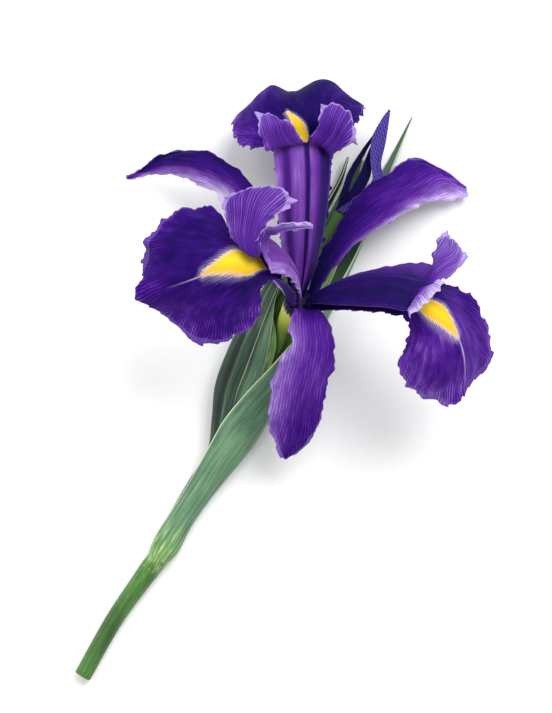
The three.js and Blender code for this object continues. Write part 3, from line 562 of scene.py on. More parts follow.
# Each fall has its haft; the points of its blade; the outline of its signal as (row, from, to);
# its pale streak as a place across and two rows; how sharp the signal's pale edge is; how much
# painted shade darkens its haft under the style arm; and its tints in the middle and at the
# margin, which also set painted light and shade on the fall as a whole, with painted light and
# shade added on either side.
FALLS = {
    "fall_left": {
        "haft": LEFT_HAFT,
        "blade": [
            [-12, 4.5, 37, -14.5, 7.5, 42, -16.5, 11.5, 43.5, -18, 15, 42.5, -21, 18.5, 39],
            [-13, -1.5, 33, -19, 1.5, 41, -21, 11.5, 45, -23, 19, 42.5, -26, 27.5, 36],
            [-15, -7.5, 30, -25.5, -2, 40.5, -28, 10, 44.5, -31, 19.5, 41, -33.5, 29.5, 34],
            [-22.5, -12.5, 31, -33.5, -3.5, 38, -36, 7, 41.5, -38.5, 17, 38.5, -41.5, 26, 33],
            [-32.5, -13.5, 30, -39.5, -4, 35, -44, 4, 37, -45.5, 12, 35.5, -48.5, 19, 31],
            [-39.5, -8.5, 28, -45.5, -4.5, 30.5, -51, 1, 31.5, -49.5, 8.5, 31, -51, 12, 29],
        ],
        "signal": [(4.2, -0.42, 0.4), (5.1, -0.38, 0.42), (5.6, -0.3, 0.25), (6.2, -0.18, 0.16),
                   (6.85, -0.04, 0.11), (7.45, 0.05, 0.06)],
        "streak": (0.07, 7.2, 7.7), "edge": 1.7, "haft_painted_shade": 0.04, "tints": (0.28, 0.46, 0.04, -0.12),
    },
    "fall_back": {
        "haft": SIDE_HAFT,
        "blade": [
            [-10, 48.5, 13.5, -5, 50, 9.5, 0, 50.5, 8.5, 4.5, 51, 7.5, 9.5, 49.5, 8.5],
            [-15.5, 48.4, 9.5, -7, 56, 9.5, 0.5, 58.5, 9.5, 7, 57.5, 7.5, 15, 54, 4],
            [-20, 50.5, 3.5, -11.5, 63.5, 5, -2.5, 64.5, 3.5, 8, 66.5, 2, 19, 59, -2],
            [-21.5, 55.5, -3, -11, 68.8, -3, -2.8, 66.8, -6, 7.5, 71, -6, 20, 62.5, -9],
            [-20, 60, -10, -10.5, 68.8, -13, -2.5, 66.5, -15, 8, 70.5, -15, 19, 58.5, -15],
            [-17, 61, -17, -11.5, 66, -20.5, -2.5, 66, -21.5, 7, 68.5, -21.5, 15, 57, -19],
        ],
        "signal": [(4.4, -0.24, 0.16), (5.2, -0.22, 0.18), (5.6, -0.08, 0.24), (6.0, 0.12, 0.28),
                   (6.3, 0.24, 0.29)],
        "streak": (0.1, 5.8, 4.4), "edge": 2.6, "haft_painted_shade": 0.24, "tints": (0.18, 0.42, 0.14, -0.06),
    },
    "fall_right": {
        "haft": SIDE_HAFT,
        "blade": [
            [42, 6, 30, 41, 2.5, 34, 39.5, -1, 35.5, 37, -4.5, 35.5, 33.5, -7, 33],
            [47.5, 4, 26, 46, 0, 33, 44.5, -5, 36, 39.5, -11.5, 36, 33, -12.5, 30],
            [54, 0.5, 22, 51, -5.5, 28.5, 48.5, -11.5, 34, 41.5, -17.5, 35, 30.5, -19, 27],
            [59, -8.5, 18, 54.5, -12.5, 25, 50.5, -18, 30.5, 43.5, -23.5, 32, 33, -26, 25],
            [61, -17.5, 16, 56.5, -20, 21, 51, -24.5, 26, 45.5, -28.5, 27.5, 38, -30.5, 23],
            [58.5, -24, 15, 55, -26.5, 18, 50, -29.5, 22.5, 49, -33, 23, 44, -33.5, 21.5],
        ],
        "signal": [(4.4, -0.4, 0.1), (5.2, -0.39, 0.14), (5.9, -0.22, 0.19), (6.45, -0.13, 0.08),
                   (7.1, -0.01, 0)],
        "streak": (0, 6.9, 8.3), "edge": 1.3, "haft_painted_shade": 0.24, "tints": (0.5, 0.55, -0.08, 0.04),
    },
}
BLADE_ROW = 5
PETAL_THICKNESS = 0.45
PETAL_HALF_ANGLE = 22
STREAK_WIDTH = 0.32


def outward(azimuth):
    turn = math.radians(azimuth)
    return across_zero * math.cos(turn) + across_quarter * math.sin(turn)


def in_flower(azimuth, radius, height):
    return flower_base + outward(azimuth) * radius + flower_axis * height


def ring_row(azimuth, radius, half_angle):
    """The first row of a petal or style arm: an arc on the tube's top."""
    return [in_flower(azimuth + u * half_angle, radius, RING_HEIGHT) for u in (1, 0.5, 0, -0.5, -1)]


def trough_rows(azimuth, stations):
    """Rows across a trough or arch: radius, height, width ahead and behind, and how far its
    edges bend towards the flower's axis."""
    out = outward(azimuth)
    side = np.cross(flower_axis, out)
    rows = []
    for before, (radius, height, ahead, behind, bend), after in zip(stations, stations[1:-1], stations[2:]):
        run = unit(np.array([after[0] - before[0], after[1] - before[1]], float))
        inward = flower_axis * run[0] - out * run[1]
        centre = in_flower(azimuth, radius, height)
        rows.append([centre + side * u * (ahead if u > 0 else behind) + inward * bend * u * u
                     for u in (1, 0.67, 0.33, 0, -0.33, -0.67, -1)])
    return rows


def on_flower(rows):
    """Each row is x, y, z of its points, from the flower's base."""
    return [np.reshape(row, (-1, 3)) + flower_base for row in rows]


def ripple(place, *waves):
    """A sum of waves: each is its length, its height and its start."""
    return sum(height * np.sin(math.tau * place / length + start) for length, height, start in waves)


def places(grid, rows, start):
    """Where each point of a petal lies: rows along it, 1 to -1 across it, how far out it is
    towards the margin, and the same on its flattened sheet in millimetres."""
    along = np.linspace(0, rows, grid.shape[0])[:, None] * np.ones(grid.shape[1])
    across = np.ones(grid.shape[0])[:, None] * np.linspace(1, -1, grid.shape[1])
    middle = grid.shape[1] // 2
    width = arc_lengths(grid, 1)
    x = width[:, middle:middle + 1] - width
    y = arc_lengths(grid, 0)[:, middle]
    y = (y - np.interp(start, along[:, 0], y))[:, None] * np.ones(grid.shape[1])
    end = np.clip((along - start) / (rows - start), 0, 1)
    out = (np.abs(across) ** 4 + end ** 4) ** 0.25
    return along, across, np.clip(out, 0, 1), end, x, y


def fan(x, y, across, throat):
    """The turn of each point round a place behind the blade's throat, and its distance."""
    at_throat = np.argmin(np.abs(y[:, 0]))
    wide = np.where(y > 0, x, x[at_throat])
    turn = np.arctan2(wide, throat + np.maximum(y, 0))
    return turn, np.hypot(wide, throat + y)


def frill(grid, out, place, waves):
    """Waves the margin up and down."""
    return raised(grid, out ** 3 * ripple(place, *waves))


def tooth(grid, across, end, x, y, waves):
    """Draws small irregular teeth along the margin, in the petal's own surface."""
    sideways, onward = -unit(np.gradient(grid, axis=1)), unit(np.gradient(grid, axis=0))
    side = np.sign(across) * np.abs(across) ** 14 * ripple(y + 40 * np.sign(across), *waves)
    return grid + sideways * side[..., None] + onward * (end ** 14 * ripple(x, *waves))[..., None]


def inside_outline(outline, along, across):
    """How far each point lies inside an outline of (row, from, to), in shares of its width."""
    rows, low, high = np.array(outline, float).T
    low, high = np.interp(along, rows, low), np.interp(along, rows, high)
    inside = np.minimum(across - low, high - across)
    inside = np.minimum(inside, (along - rows[0]) * 0.5)
    return np.where(along > rows[-1], -(along - rows[-1]) * 0.5 - np.abs(across - low), inside)


VIOLETS = [(0, "080138"), (0.2, "1c0355"), (0.4, "350b72"), (0.55, "51208c"),
           (0.7, "7048a8"), (0.85, "9c82cc"), (1, "d8caee")]


def vein_lines(shade, turn, reach, count, first_fork, second_fork):
    """Branching veins: lines at each whole turn, doubled beyond each fork."""
    wobble = (shade.mottle(160, 3.0) - 0.5) * 0.05
    turn = turn + wobble
    inner = (turn * count).wave()
    middle = (turn * (2 * count)).wave()
    outer = (turn * (4 * count)).wave()
    to_middle = reach.step(first_fork * 0.75, first_fork * 1.25)
    to_outer = reach.step(second_fork * 0.75, second_fork * 1.25)
    lines = inner * (1 - to_middle) + middle * to_middle
    return lines * (1 - to_outer) + outer * to_outer


def fall_finish():
    """Deep velvet violet; lighter veins at the margin; a yellow signal with a white edge."""
    shade = new_finish("fall_velvet")
    tint, out, inside = shade.notes("tint", "out", "inside")
    turn, reach, midline = shade.notes("turn", "reach", "midline")
    lines = vein_lines(shade, turn, reach, count=11, first_fork=11, second_fork=23)
    patches, grain = shade.mottle(75, 4.0), shade.mottle(2600, 2.0)
    broken = shade.fibre(turn * 17, reach * 0.16)
    vein = (lines - 0.5) * (0.07 + out ** 3 * 0.2) * (broken * 2.6 - 0.5)
    tone = tint + vein + (patches - 0.5) * 0.5 + (grain - 0.5) * 0.1 + (broken - 0.5) * 0.5
    colour = tone.ramp(VIOLETS)
    ragged = inside + (lines - 0.5) * 0.05 + (broken - 0.5) * 0.14 + (grain - 0.5) * 0.1
    halo = ragged.step(-0.075, 0.0) * 0.85
    glow = (ragged + (patches - 0.5) * 0.2).step(-0.24, -0.02) * 0.22
    streak = midline.step(0.0, 1.0) * (0.4 + 0.9 * broken)
    pale = halo.sum("MAXIMUM", streak * 0.7).sum("MAXIMUM", glow)
    upper = 1 - shade.note("face")
    colour = colour.under("d9cbea", pale * (upper * 0.85 + 0.15))
    yellow = (0.38 + (lines - 0.5) * 0.2 + inside * 1.6 + (patches - 0.5) * 0.4).ramp(
        [(0, "ac8418"), (0.3, "d8a820"), (0.6, "f2ca28"), (1, "fce93e")])
    colour = colour.under(yellow, (inside + (lines - 0.5) * 0.08).step(-0.05, 0.04) * upper)
    rim = out.step(0.985, 0.999)
    colour = colour.under("7d62b8", rim * 0.35)
    relief = lines * 0.5 + grain * 0.45 + broken * 0.4
    return surface(shade, colour, 0.56 + grain * 0.2, relief, specular_ior_level=0.06,
                   subsurface_weight=0.04)


def petal(node, kind, grid, notes, finish, slot, thinning=0.6):
    """A petal's piece, thinner towards its margin."""
    thickness = PETAL_THICKNESS * (1 - thinning * notes["out"] ** 6)
    return make_piece(node + kind, *thick_sheet([grid], [notes], [thickness]), finish, slot, node)


def fall(name, finish):
    about = FALLS[name]
    azimuth = AZIMUTH[name]
    rows = [ring_row(azimuth, PETAL_RING, PETAL_HALF_ANGLE), *trough_rows(azimuth, about["haft"]),
            *on_flower(about["blade"])]
    grid = sheet_through(rows, along=210, across=144)
    along, across, out, end, x, y = places(grid, len(rows) - 1, BLADE_ROW)
    blade = smooth(BLADE_ROW - 0.5, BLADE_ROW + 1.5, along)
    turn, reach = fan(x, y, across, throat=9)
    waves = [(9.5, 0.7, 0), (15, 0.8, 2), (5.2, 0.3, 1), (3.1, 0.12, 3)]
    grid = frill(grid, out * blade, turn * 22 + y * 0.2, waves)
    grid = tooth(grid, across, end, x, y, [(4.3, 0.35, 0), (2.4, 0.22, 1), (7.9, 0.45, 2), (1.5, 0.1, 0)])
    groove = 0.5 * np.exp(-(x / 1.3) ** 2) * smooth(BLADE_ROW, BLADE_ROW + 3, along)
    swells = 0.25 * np.sin(turn * 7 + reach * 0.18) * smooth(6, 20, reach)
    grid = raised(grid, swells - groove)
    middle, margin, ahead, behind = about["tints"]
    # The margin tint is the velvet's own paler edge. The middle tint also sets each fall lighter or darker
    # as painted light and shade, and the tints ahead and behind paint light and shade on one side of the
    # blade.
    tint = middle + (margin - middle) * out ** 5
    tint = tint + ahead * smooth(0, 1, across) + behind * smooth(0, 1, -across)
    # Painted shade: the haft and throat darken where the style arm and its crests hang over them.
    tint = tint - about["haft_painted_shade"] * smooth(BLADE_ROW + 1.8, BLADE_ROW, along)
    inside = inside_outline(about["signal"], along, across)
    inside = np.where(inside < 0, inside * about["edge"], inside)
    at, first, last = about["streak"]
    width = np.abs(across - at) * np.abs(x).max(axis=1, keepdims=True)
    streak_rows = smooth(last + 1.5, last - 0.5, along) * smooth(first - 0.6, first, along)
    midline = np.exp(-(width / STREAK_WIDTH) ** 2) * streak_rows
    notes = {"tint": tint, "out": out, "inside": inside, "turn": turn, "reach": reach, "midline": midline}
    return petal(name, "_petal", grid, notes, finish, "fall")


fall_velvet = fall_finish()
for name in FALLS:
    fall(name, fall_velvet)


# ---------------- the three standards
# A standard is an inner petal: a narrow claw that widens into a long spread blade. It is as
# thin as a fall, satiny, with close veins that run its whole length.

STANDARDS = {
    "standard_left": [
        [-16, 14, -0.5, -13.5, 13.5, 1.5, -11, 12.5, 4],
        [-20.5, 21.5, 0, -16, 22, 5, -11, 20.5, 7],
        [-23.5, 28, 0, -18, 29.5, 6, -12, 28.5, 8],
        [-26, 33.5, 0, -21, 36.5, 6, -15, 36, 7],
        [-32.5, 37, -3, -27, 41.5, 3, -22.5, 43.5, 4],
        [-38.5, 40, -8, -35.5, 44.5, -2, -32.5, 48.5, -2],
        [-45.5, 41, -12.5, -43.5, 45, -8, -44, 47.5, -10],
        [-51.5, 40.5, -16, -51, 42, -14.5, -51.5, 43, -14.5],
        [-55.5, 39.5, -17.5, -56, 40, -17.5, -56.5, 40, -17.5],
    ],
    "standard_right": [
        [4.5, 12, -1.5, 7.5, 10.5, -1, 9.5, 9, -3],
        [10, 20.5, -4.5, 14, 19, -2.5, 18, 18.5, -5],
        [15, 29, -7, 21.5, 26, -3.5, 26.5, 24, -6],
        [20.5, 36.5, -10, 29.5, 32, -5.5, 36, 29.5, -10],
        [28.5, 41.5, -12.5, 37.5, 36, -10, 43, 32.5, -14.5],
        [35.5, 46.5, -16.5, 43.5, 40, -15, 48.5, 32.5, -18.5],
        [43, 44.5, -19.5, 49, 39.5, -19.5, 52, 33.5, -20],
        [51, 40, -21.5, 53.5, 37, -21.5, 54.5, 34, -21],
    ],
    "standard_front": [
        [5.5, -3.5, 12.5, 2, -3.5, 13, -2, -3, 12],
        [9.5, -8, 12, 2.5, -8, 16, -4, -8, 14],
        [10.5, -15.5, 13.5, 3, -14.5, 16, -3, -13.5, 15],
        [10.5, -20.5, 12, 2, -20.5, 14, -6.5, -19, 13],
        [8, -28.5, 8, 0, -28.5, 10.5, -9.5, -26.5, 8],
        [7, -35, 4, -1.5, -35.5, 6, -10, -34.5, 4],
        [5, -41.5, 0, -2.5, -41.5, 2, -10.5, -40, 0],
        [2, -46, -3, -4, -47, -2, -8, -46, -3.5],
        [-2.5, -50, -5.5, -5, -50.5, -5.5, -6.5, -50.5, -6],
    ],
}
# Tints across each standard, from its first edge to its last, and along it from base to tip: the
# petals' own paler margins together with painted light and shade on their sides and ends.
STANDARD_TINTS = {
    "standard_left": ([0.98, 0.72, 0.38, 0.24, 0.22], [0.22, 0.34, 0.04, -0.1, 0.04]),
    "standard_right": ([0.26, 0.34, 0.42, 0.62, 0.96], [-0.34, -0.1, 0.0, 0.12, 0.14]),
    "standard_front": ([0.46, 0.44, 0.46, 0.64, 0.8], [-0.04, 0.08, 0.06, 0.0, -0.14]),
}


def standard_finish():
    """Satin violet with fine lengthwise veins, paler to the margins."""
    shade = new_finish("standard_satin")
    tint, out, along, side = shade.notes("tint", "out", "row", "x")
    wander = (shade.mottle(90, 3.0) - 0.5) * 2.2
    lines = (side * 1.05 + wander).wave()
    fine = (side * 2.3 + wander * 2).wave()
    patches, grain = shade.mottle(60, 4.0), shade.mottle(2400, 2.0)
    broken = shade.fibre(side * 0.8, along * 1.1)
    veins = (lines - 0.5) * 0.12 + (fine - 0.5) * 0.07
    tone = tint + veins * (broken * 2.6 - 0.4) + (patches - 0.5) * 0.45 + (grain - 0.5) * 0.09
    tone = tone + (broken - 0.5) * 0.34
    colour = tone.ramp(VIOLETS)
    warm = (patches * 0.5 + tint * 0.5).step(0.45, 0.8) * 0.22
    colour = colour.under("8a4fa8", warm)
    rim = out.step(0.98, 0.999)
    colour = colour.under("8f78c4", rim * 0.4)
    relief = lines * 0.4 + fine * 0.3 + grain * 0.4 + broken * 0.3
    return surface(shade, colour, 0.55 + grain * 0.2, relief, specular_ior_level=0.06,
                   subsurface_weight=0.05)


def standard(name, finish):
    rows = [ring_row(AZIMUTH[name], PETAL_RING, PETAL_HALF_ANGLE), *on_flower(STANDARDS[name])]
    grid = sheet_through(rows, along=210, across=96)
    along, across, out, end, x, y = places(grid, len(rows) - 1, 2)
    wandering = y + 5 * np.sin(across * 2.3 + y / 9)
    grid = frill(grid, out * smooth(1, 4, along), wandering, [(13, 0.5, 0), (7.1, 0.2, 2), (4.3, 0.06, 1)])
    grid = tooth(grid, across, end, x, y, [(4.9, 0.2, 0), (2.7, 0.1, 1), (9.1, 0.3, 2)])
    crease = 0.35 * np.exp(-(x / 0.9) ** 2) * smooth(1, 4, along)
    swells = 0.22 * np.sin(x * 0.9 + y * 0.16) * smooth(2, 5, along)
    grid = raised(grid, swells - crease)
    across_tints, along_tints = STANDARD_TINTS[name]
    tint = np.interp(-across, np.linspace(-1, 1, len(across_tints)), across_tints)
    tint = tint + np.interp(along / (len(rows) - 1), np.linspace(0, 1, len(along_tints)), along_tints)
    # Painted shade: each standard darkens towards its claw in the flower's dark centre.
    tint = tint - 0.3 * smooth(2.2, 0.5, along)
    notes = {"tint": tint, "out": out, "x": x, "row": along}
    return petal(name, "_petal", grid, notes, finish, "standard")


standard_satin = standard_finish()
for name in STANDARDS:
    standard(name, standard_satin)


# ---------------- the three style arms
# Over each fall's haft arches a style arm, a stiff petal-like lip of the pistil, that ends in
# two upright crests with toothed margins. It is smooth, lighter than the falls, and ribbed.

SIDE_ARM = [
    [1.9, 0.4], [5.3, 9.5, 4.8, 4, -1], [10.8, 19, 7.8, 6.2, -2.6],
    [18.5, 28.5, 9.2, 7.6, -3.4], [27, 36, 10, 8.4, -2.8], [34, 39.5, 10.2, 8.6, -2],
    [40, 40],
]
RIGHT_ARM = [
    [1.9, 0.4], [5.3, 9.5, 5, 4, -1], [10.8, 19, 8.6, 6.2, -2.6],
    [18.5, 28.5, 11, 7.6, -3.4], [27, 36, 12.4, 8.4, -2.8], [34, 39.5, 12.6, 8.6, -2],
    [40, 40],
]
LEFT_ARM = [
    [1.9, 0.4], [3.3, 10, 4, 4, -1], [6, 20.5, 6, 6, -2.6], [10.2, 30.5, 7.5, 7.5, -3],
    [16, 39, 8.2, 8.2, -2.5], [23.5, 44, 7.5, 7.5, -2], [30, 45.5],
]
# Each arm has its rows; the rows of its two crests; its own folds as (place across, width, height);
# how much its edge frills; its tints, which run across it and hold its own colours together with
# painted light and shade on its folds and sides; and its two crests' tints.
STYLE_ARMS = {
    "style_arm_left": {
        "fall": "fall_left", "arm": LEFT_ARM,
        "crests": [[
            [-10.5, 15.5, 44, -12, 16.5, 47, -13.5, 17, 49, -14.5, 17.5, 50.5],
            [-9.5, 19.5, 45, -10.5, 20, 48, -11, 21, 50.5, -11.5, 21.5, 52.5],
            [-6.5, 20.5, 47.5, -6.5, 21.5, 50, -6.5, 22, 52, -6.5, 23, 53.5],
            [-1.5, 21.5, 48.5, -1.5, 22.5, 50.5, -1.5, 23, 52, -1.5, 23.5, 53],
            [3, 22.5, 50, 3, 22.5, 50.5, 3, 23, 51, 3, 23, 51.5],
        ], [
            [-13, 13.5, 48, -15, 13, 49, -17, 14, 48.5, -18.8, 15.8, 46.5],
            [-12.5, 18.5, 51, -15.5, 19, 51, -19, 19.5, 49.5, -22, 19.5, 47.5],
            [-10, 24, 52.5, -13.5, 27, 53, -18.5, 27.5, 52, -23.5, 24.5, 49],
            [-5, 27.5, 54, -10.5, 31.5, 54.5, -18, 32, 53, -24.5, 28.5, 50],
            [-1.5, 30, 55, -7.5, 34.5, 55.5, -16.5, 34, 54, -24, 31.5, 51],
        ]],
        "folds": [(0.5, 0.1, 0.6), (-0.35, 0.12, 0.7)],
        "tints": [0.88, 0.78, 0.5, 0.62, 0.42, 0.25],
        "frill": 2.4, "crest_tints": (0.64, 0.5),
    },
    "style_arm_back": {
        "fall": "fall_back", "arm": SIDE_ARM,
        "crests": [[
            [-11, 47.5, 20.5, -6.5, 48.5, 21, -2, 49.5, 20, 1, 50, 19],
            [-12.5, 51, 22, -8.5, 52, 23, -4.5, 52.5, 22.5, -1, 52, 21],
            [-13.5, 54.5, 22.5, -9.5, 55.5, 24, -5.5, 55.5, 24, -2, 54.5, 22.5],
            [-14, 59, 22, -11, 59, 23.5, -7.5, 57.5, 24, -4, 56, 22.5],
        ], [
            [3, 51, 19, 5, 50, 19, 7.5, 48, 18, 9.5, 45, 15],
            [5, 54.5, 20.5, 8, 54, 21, 11, 51.5, 19.5, 12, 47.5, 16.5],
            [6, 58, 21, 9, 57.5, 22, 13, 55, 20.5, 15, 49, 18],
            [6, 61.5, 21, 10.5, 62, 22, 15.5, 59, 21, 18, 49.5, 19],
        ]],
        "folds": [(0.5, 0.14, -0.7), (0.0, 0.05, -0.6), (-0.12, 0.06, 0.7), (-0.5, 0.15, -0.5)],
        "tints": [0.8, 0.7, 0.34, 0.34, 0.66, 0.68, 0.62, 0.16, 0.78, 0.56, 0.4, 0.22, 0.14, 0.18, 0.46],
        "frill": 0.4, "crest_tints": (0.54, 0.46),
    },
    "style_arm_right": {
        "fall": "fall_right", "arm": RIGHT_ARM,
        "crests": [[
            [41.5, 13, 32.5, 41.5, 10.5, 34.5, 42, 7.5, 37, 42, 5, 38.5],
            [42, 16, 34, 44, 13.5, 36.5, 45, 9.5, 38.5, 44, 6, 39],
            [43, 19, 36, 47, 16, 38, 48, 11.5, 39.5, 47, 7.5, 39.5],
            [45, 21.5, 37.5, 47.5, 18.5, 39, 50, 16, 40, 52, 13, 40],
        ], [
            [41, 4.5, 38, 38.5, 2.5, 39, 35.5, 0, 39, 33, -3.5, 38],
            [42.5, 5.5, 42, 39.5, 2.5, 44, 36.5, -0.5, 43.5, 33.5, -4, 42],
            [44.5, 5.5, 46, 41, 1, 49, 37.5, -2.5, 48.5, 33.5, -5.5, 46],
        ]],
        "folds": [(0.15, 0.08, -0.5), (-0.35, 0.12, 0.4)],
        "tints": [0.42, 0.36, 0.26, 0.12, 0.16, 0.1, 0.16, 0.3],
        "frill": 0.6, "crest_tints": (0.6, 0.78),
    },
}


def style_finish():
    """Smooth violet, lavender at the crests, ribbed lengthwise, with pale toothed margins."""
    shade = new_finish("style_lip")
    tint, out, turn, crest = shade.notes("tint", "out", "turn", "crest")
    wander = (shade.mottle(110, 3.0) - 0.5) * 1.3
    lines = (turn + wander).wave()
    fine = (turn * 2.2 + wander * 2).wave()
    patches, grain = shade.mottle(70, 4.0), shade.mottle(2400, 2.0)
    broken = shade.fibre(turn * 0.9, shade.note("row") * 1.2)
    depth = (0.04 + crest * 0.15) * (broken * 2.4 - 0.3)
    tone = tint + (lines - 0.5) * depth + (fine - 0.5) * depth * 0.6 + (patches - 0.5) * 0.4
    tone = tone + (grain - 0.5) * 0.06 + (broken - 0.5) * 0.4
    colour = tone.ramp(VIOLETS)
    colour = colour.under("8046a2", (1 - crest) * tint.step(0.2, 0.6) * 0.4)
    rim = (out + (broken - 0.5) * 0.03).step(0.965, 0.998)
    colour = colour.under("b6a0dc", rim * (0.2 + crest * 0.4))
    relief = lines * 0.4 + fine * 0.25 + grain * 0.35 + broken * 0.3
    return surface(shade, colour, 0.5 + grain * 0.2, relief, specular_ior_level=0.1,
                   subsurface_weight=0.05)


CREST_ROWS = 110
CREST_COLUMNS = 48


def style_arm(name, finish):
    about = STYLE_ARMS[name]
    azimuth = AZIMUTH[about["fall"]]
    rows = [ring_row(azimuth, STYLE_RING, half_angle=45), *trough_rows(azimuth, about["arm"])]
    arm = sheet_through(rows, along=180, across=2 * CREST_COLUMNS)
    along, across, _, _, x, _ = places(arm, len(rows) - 1, 1)
    lift = sum(h * np.exp(-((across - at) / wide) ** 2) for at, wide, h in about["folds"])
    grown = smooth(0.5, 2, along) * smooth(0, 0.2, 1 - np.abs(across))
    arm = raised(arm, lift * grown)
    side = np.abs(across) ** 10
    frills = ripple(along * 8, (6, 0.3, 0), (3.5, 0.2, 1)) * np.where(across > 0, about["frill"], 0.3)
    arm = raised(arm, side * smooth(1, 3, along) * frills)
    tints = about["tints"]
    across_tint = np.interp(-across, np.linspace(-1, 1, len(tints)), tints)
    end_tint = across_tint[-1]
    # Painted shade: the arm darkens towards its foot in the flower's centre.
    tint = across_tint - 0.25 * smooth(1.5, 0, along)
    grids = [arm]
    notes = [{"tint": tint, "out": np.abs(across) ** 3, "turn": x * 0.8, "crest": 0 * x, "row": along}]
    for part, lobe in enumerate(about["crests"]):
        half = slice(part * CREST_COLUMNS, (part + 1) * CREST_COLUMNS + 1)
        first = arm[-1, half]
        later = [curve_through(row, CREST_COLUMNS) for row in on_flower(lobe)]
        grid = curve_through([first, *later], CREST_ROWS)
        v, u = even_grid(CREST_ROWS + 1, CREST_COLUMNS + 1)
        u = 1 - 2 * u
        out = np.clip((np.abs(u) ** 5 + v ** 5) ** 0.2, 0, 1)
        wide, long = arc_lengths(grid, 1), arc_lengths(grid, 0)
        waves = [(6.5, 0.4, part), (3.7, 0.25, 2), (2.3, 0.12, 1)]
        keep = smooth(0, 0.25, v)
        lift = v ** 2 * ripple(u * 11, *waves) + np.abs(u) ** 6 * ripple(long, *waves)
        grid = raised(grid, keep * lift)
        grid = tooth(grid, u * keep, v, wide, long, [(3.1, 0.2, 0), (1.9, 0.12, 1), (5.7, 0.32, 2)])
        grid[0] = first
        crest_tint = about["crest_tints"][part] + 0.14 * (v - 0.5) + 0.1 * out ** 4
        tint = end_tint[half] * (1 - smooth(0, 0.35, v)) + crest_tint * smooth(0, 0.35, v)
        grids.append(grid)
        crest = smooth(0, 0.3, v)
        notes.append({"tint": tint, "out": out * keep, "turn": u * 11, "crest": crest, "row": v})
    thickness = [PETAL_THICKNESS * (1 - 0.5 * note["out"] ** 6) for note in notes]
    return make_piece(name + "_lip", *thick_sheet(grids, notes, thickness), finish, "style", name)


style_lip = style_finish()
for name in STYLE_ARMS:
    style_arm(name, style_lip)


# ---------------- the stamens
# Under each style arm lies one stamen: a thin filament, painted dark violet at the tube's top as
# the shade of the flower's centre and paler further out, and a long cream anther, matt with pollen.

FILAMENT_RADIUS = 0.45
ANTHER_LENGTH = 12


def anther_finish():
    shade = new_finish("pollen_cream")
    along, grain = shade.note("along"), shade.mottle(3000, 4.0)
    # The dark violet and lavender stops along the filament are painted shade in the flower's centre; the
    # cream is the anther's pollen.
    colour = (along + (grain - 0.5) * 0.3).ramp(
        [(0, "140a3c"), (0.3, "2a1a68"), (0.55, "a394cc"), (0.66, "e6dba8"), (1, "f0e6b4")])
    return surface(shade, colour, 0.7 + grain * 0.2, grain, 0.6, 0.0002, specular_ior_level=0.1)


pollen_cream = anther_finish()
for side in ("left", "back", "right"):
    azimuth = AZIMUTH["fall_" + side]
    haft, arm = FALLS["fall_" + side]["haft"], STYLE_ARMS["style_arm_" + side]["arm"]
    foot = in_flower(azimuth, (PETAL_RING + STYLE_RING) / 2, RING_HEIGHT)
    between = [in_flower(azimuth, *np.add(haft[k][:2], arm[k][:2]) / 2) for k in (1, 2, 3)]
    run = unit(between[2] - between[1])
    low, high = between[2] - run * ANTHER_LENGTH / 2, between[2] + run * ANTHER_LENGTH / 2
    centres = [foot, between[0], between[1], low - run * 0.4, low, low + run, low + run * 3,
               high - run * 2, high - run * 0.6, high]
    radii = [FILAMENT_RADIUS, 0.42, 0.4, 0.38, 0.55, 0.85, 0.9, 0.85, 0.6, 0.2]
    line, radius, rings, turn = rod(centres, radii, 40, steps=180, end_axes=(flower_axis, None))
    groove = 1 - 0.18 * np.exp(-(np.sin(turn) / 0.3) ** 2)
    squeeze = np.where(radius[:, None] > 0.5, groove, 1)
    rings = line[:, None] + (rings - line[:, None]) * squeeze[..., None]
    rod_piece(f"stamen_{side}_pollen", line[[0, -1]], rings, pollen_cream, "anther", "stamen_" + side)


# ---------------- the second bud
# A furled flower that never opened stands on the second tube: three narrow rolled petals,
# almost black violet, the nearest one folded back and crimped across.

BUD_PETALS = {
    "bud_petal_outer": (-1.4, [
        [13.5, 36, 6.2, 14.5, 35.8, 6, 15.5, 35.5, 6.2],
        [15.5, 42, 6.5, 16.5, 41.8, 6.2, 17.5, 41.5, 6.5],
        [19.5, 48.5, 7, 20.3, 48.2, 6.8, 21, 48, 7],
        [23.5, 54, 7.5, 23.8, 53.8, 7.5, 24, 53.5, 7.5],
    ]),
    "bud_petal_inner": (0, [
        [15, 34.5, 8.4, 17, 34.2, 8, 19, 33.8, 8.4],
        [18.5, 40, 8.8, 20.5, 40.2, 8.4, 22.5, 40.2, 8.8],
        [21, 46, 9.5, 22.2, 46, 9.2, 23, 46, 9.5],
        [22.5, 50, 10, 22.8, 49.8, 10, 23, 49.5, 10],
    ]),
    "bud_petal_folded": (1.4, [
        [17, 33, 10.6, 18.7, 32.5, 10, 20.3, 32, 10.6],
        [23, 38.8, 11, 24.7, 38.6, 10.2, 26.4, 38.3, 10.8],
        [22.5, 45.5, 12, 24.2, 45, 11, 26, 44.5, 11.8],
        [23, 52.5, 13, 25.3, 52, 12, 27.5, 51.5, 13],
        [26, 58.5, 13.5, 27.2, 58.2, 13, 28.5, 58, 13.5],
        [28.5, 62, 13.5, 28.7, 61.7, 13.5, 29, 61.5, 13.5],
    ]),
}
BUD_TUBE_RADIUS = 1.8


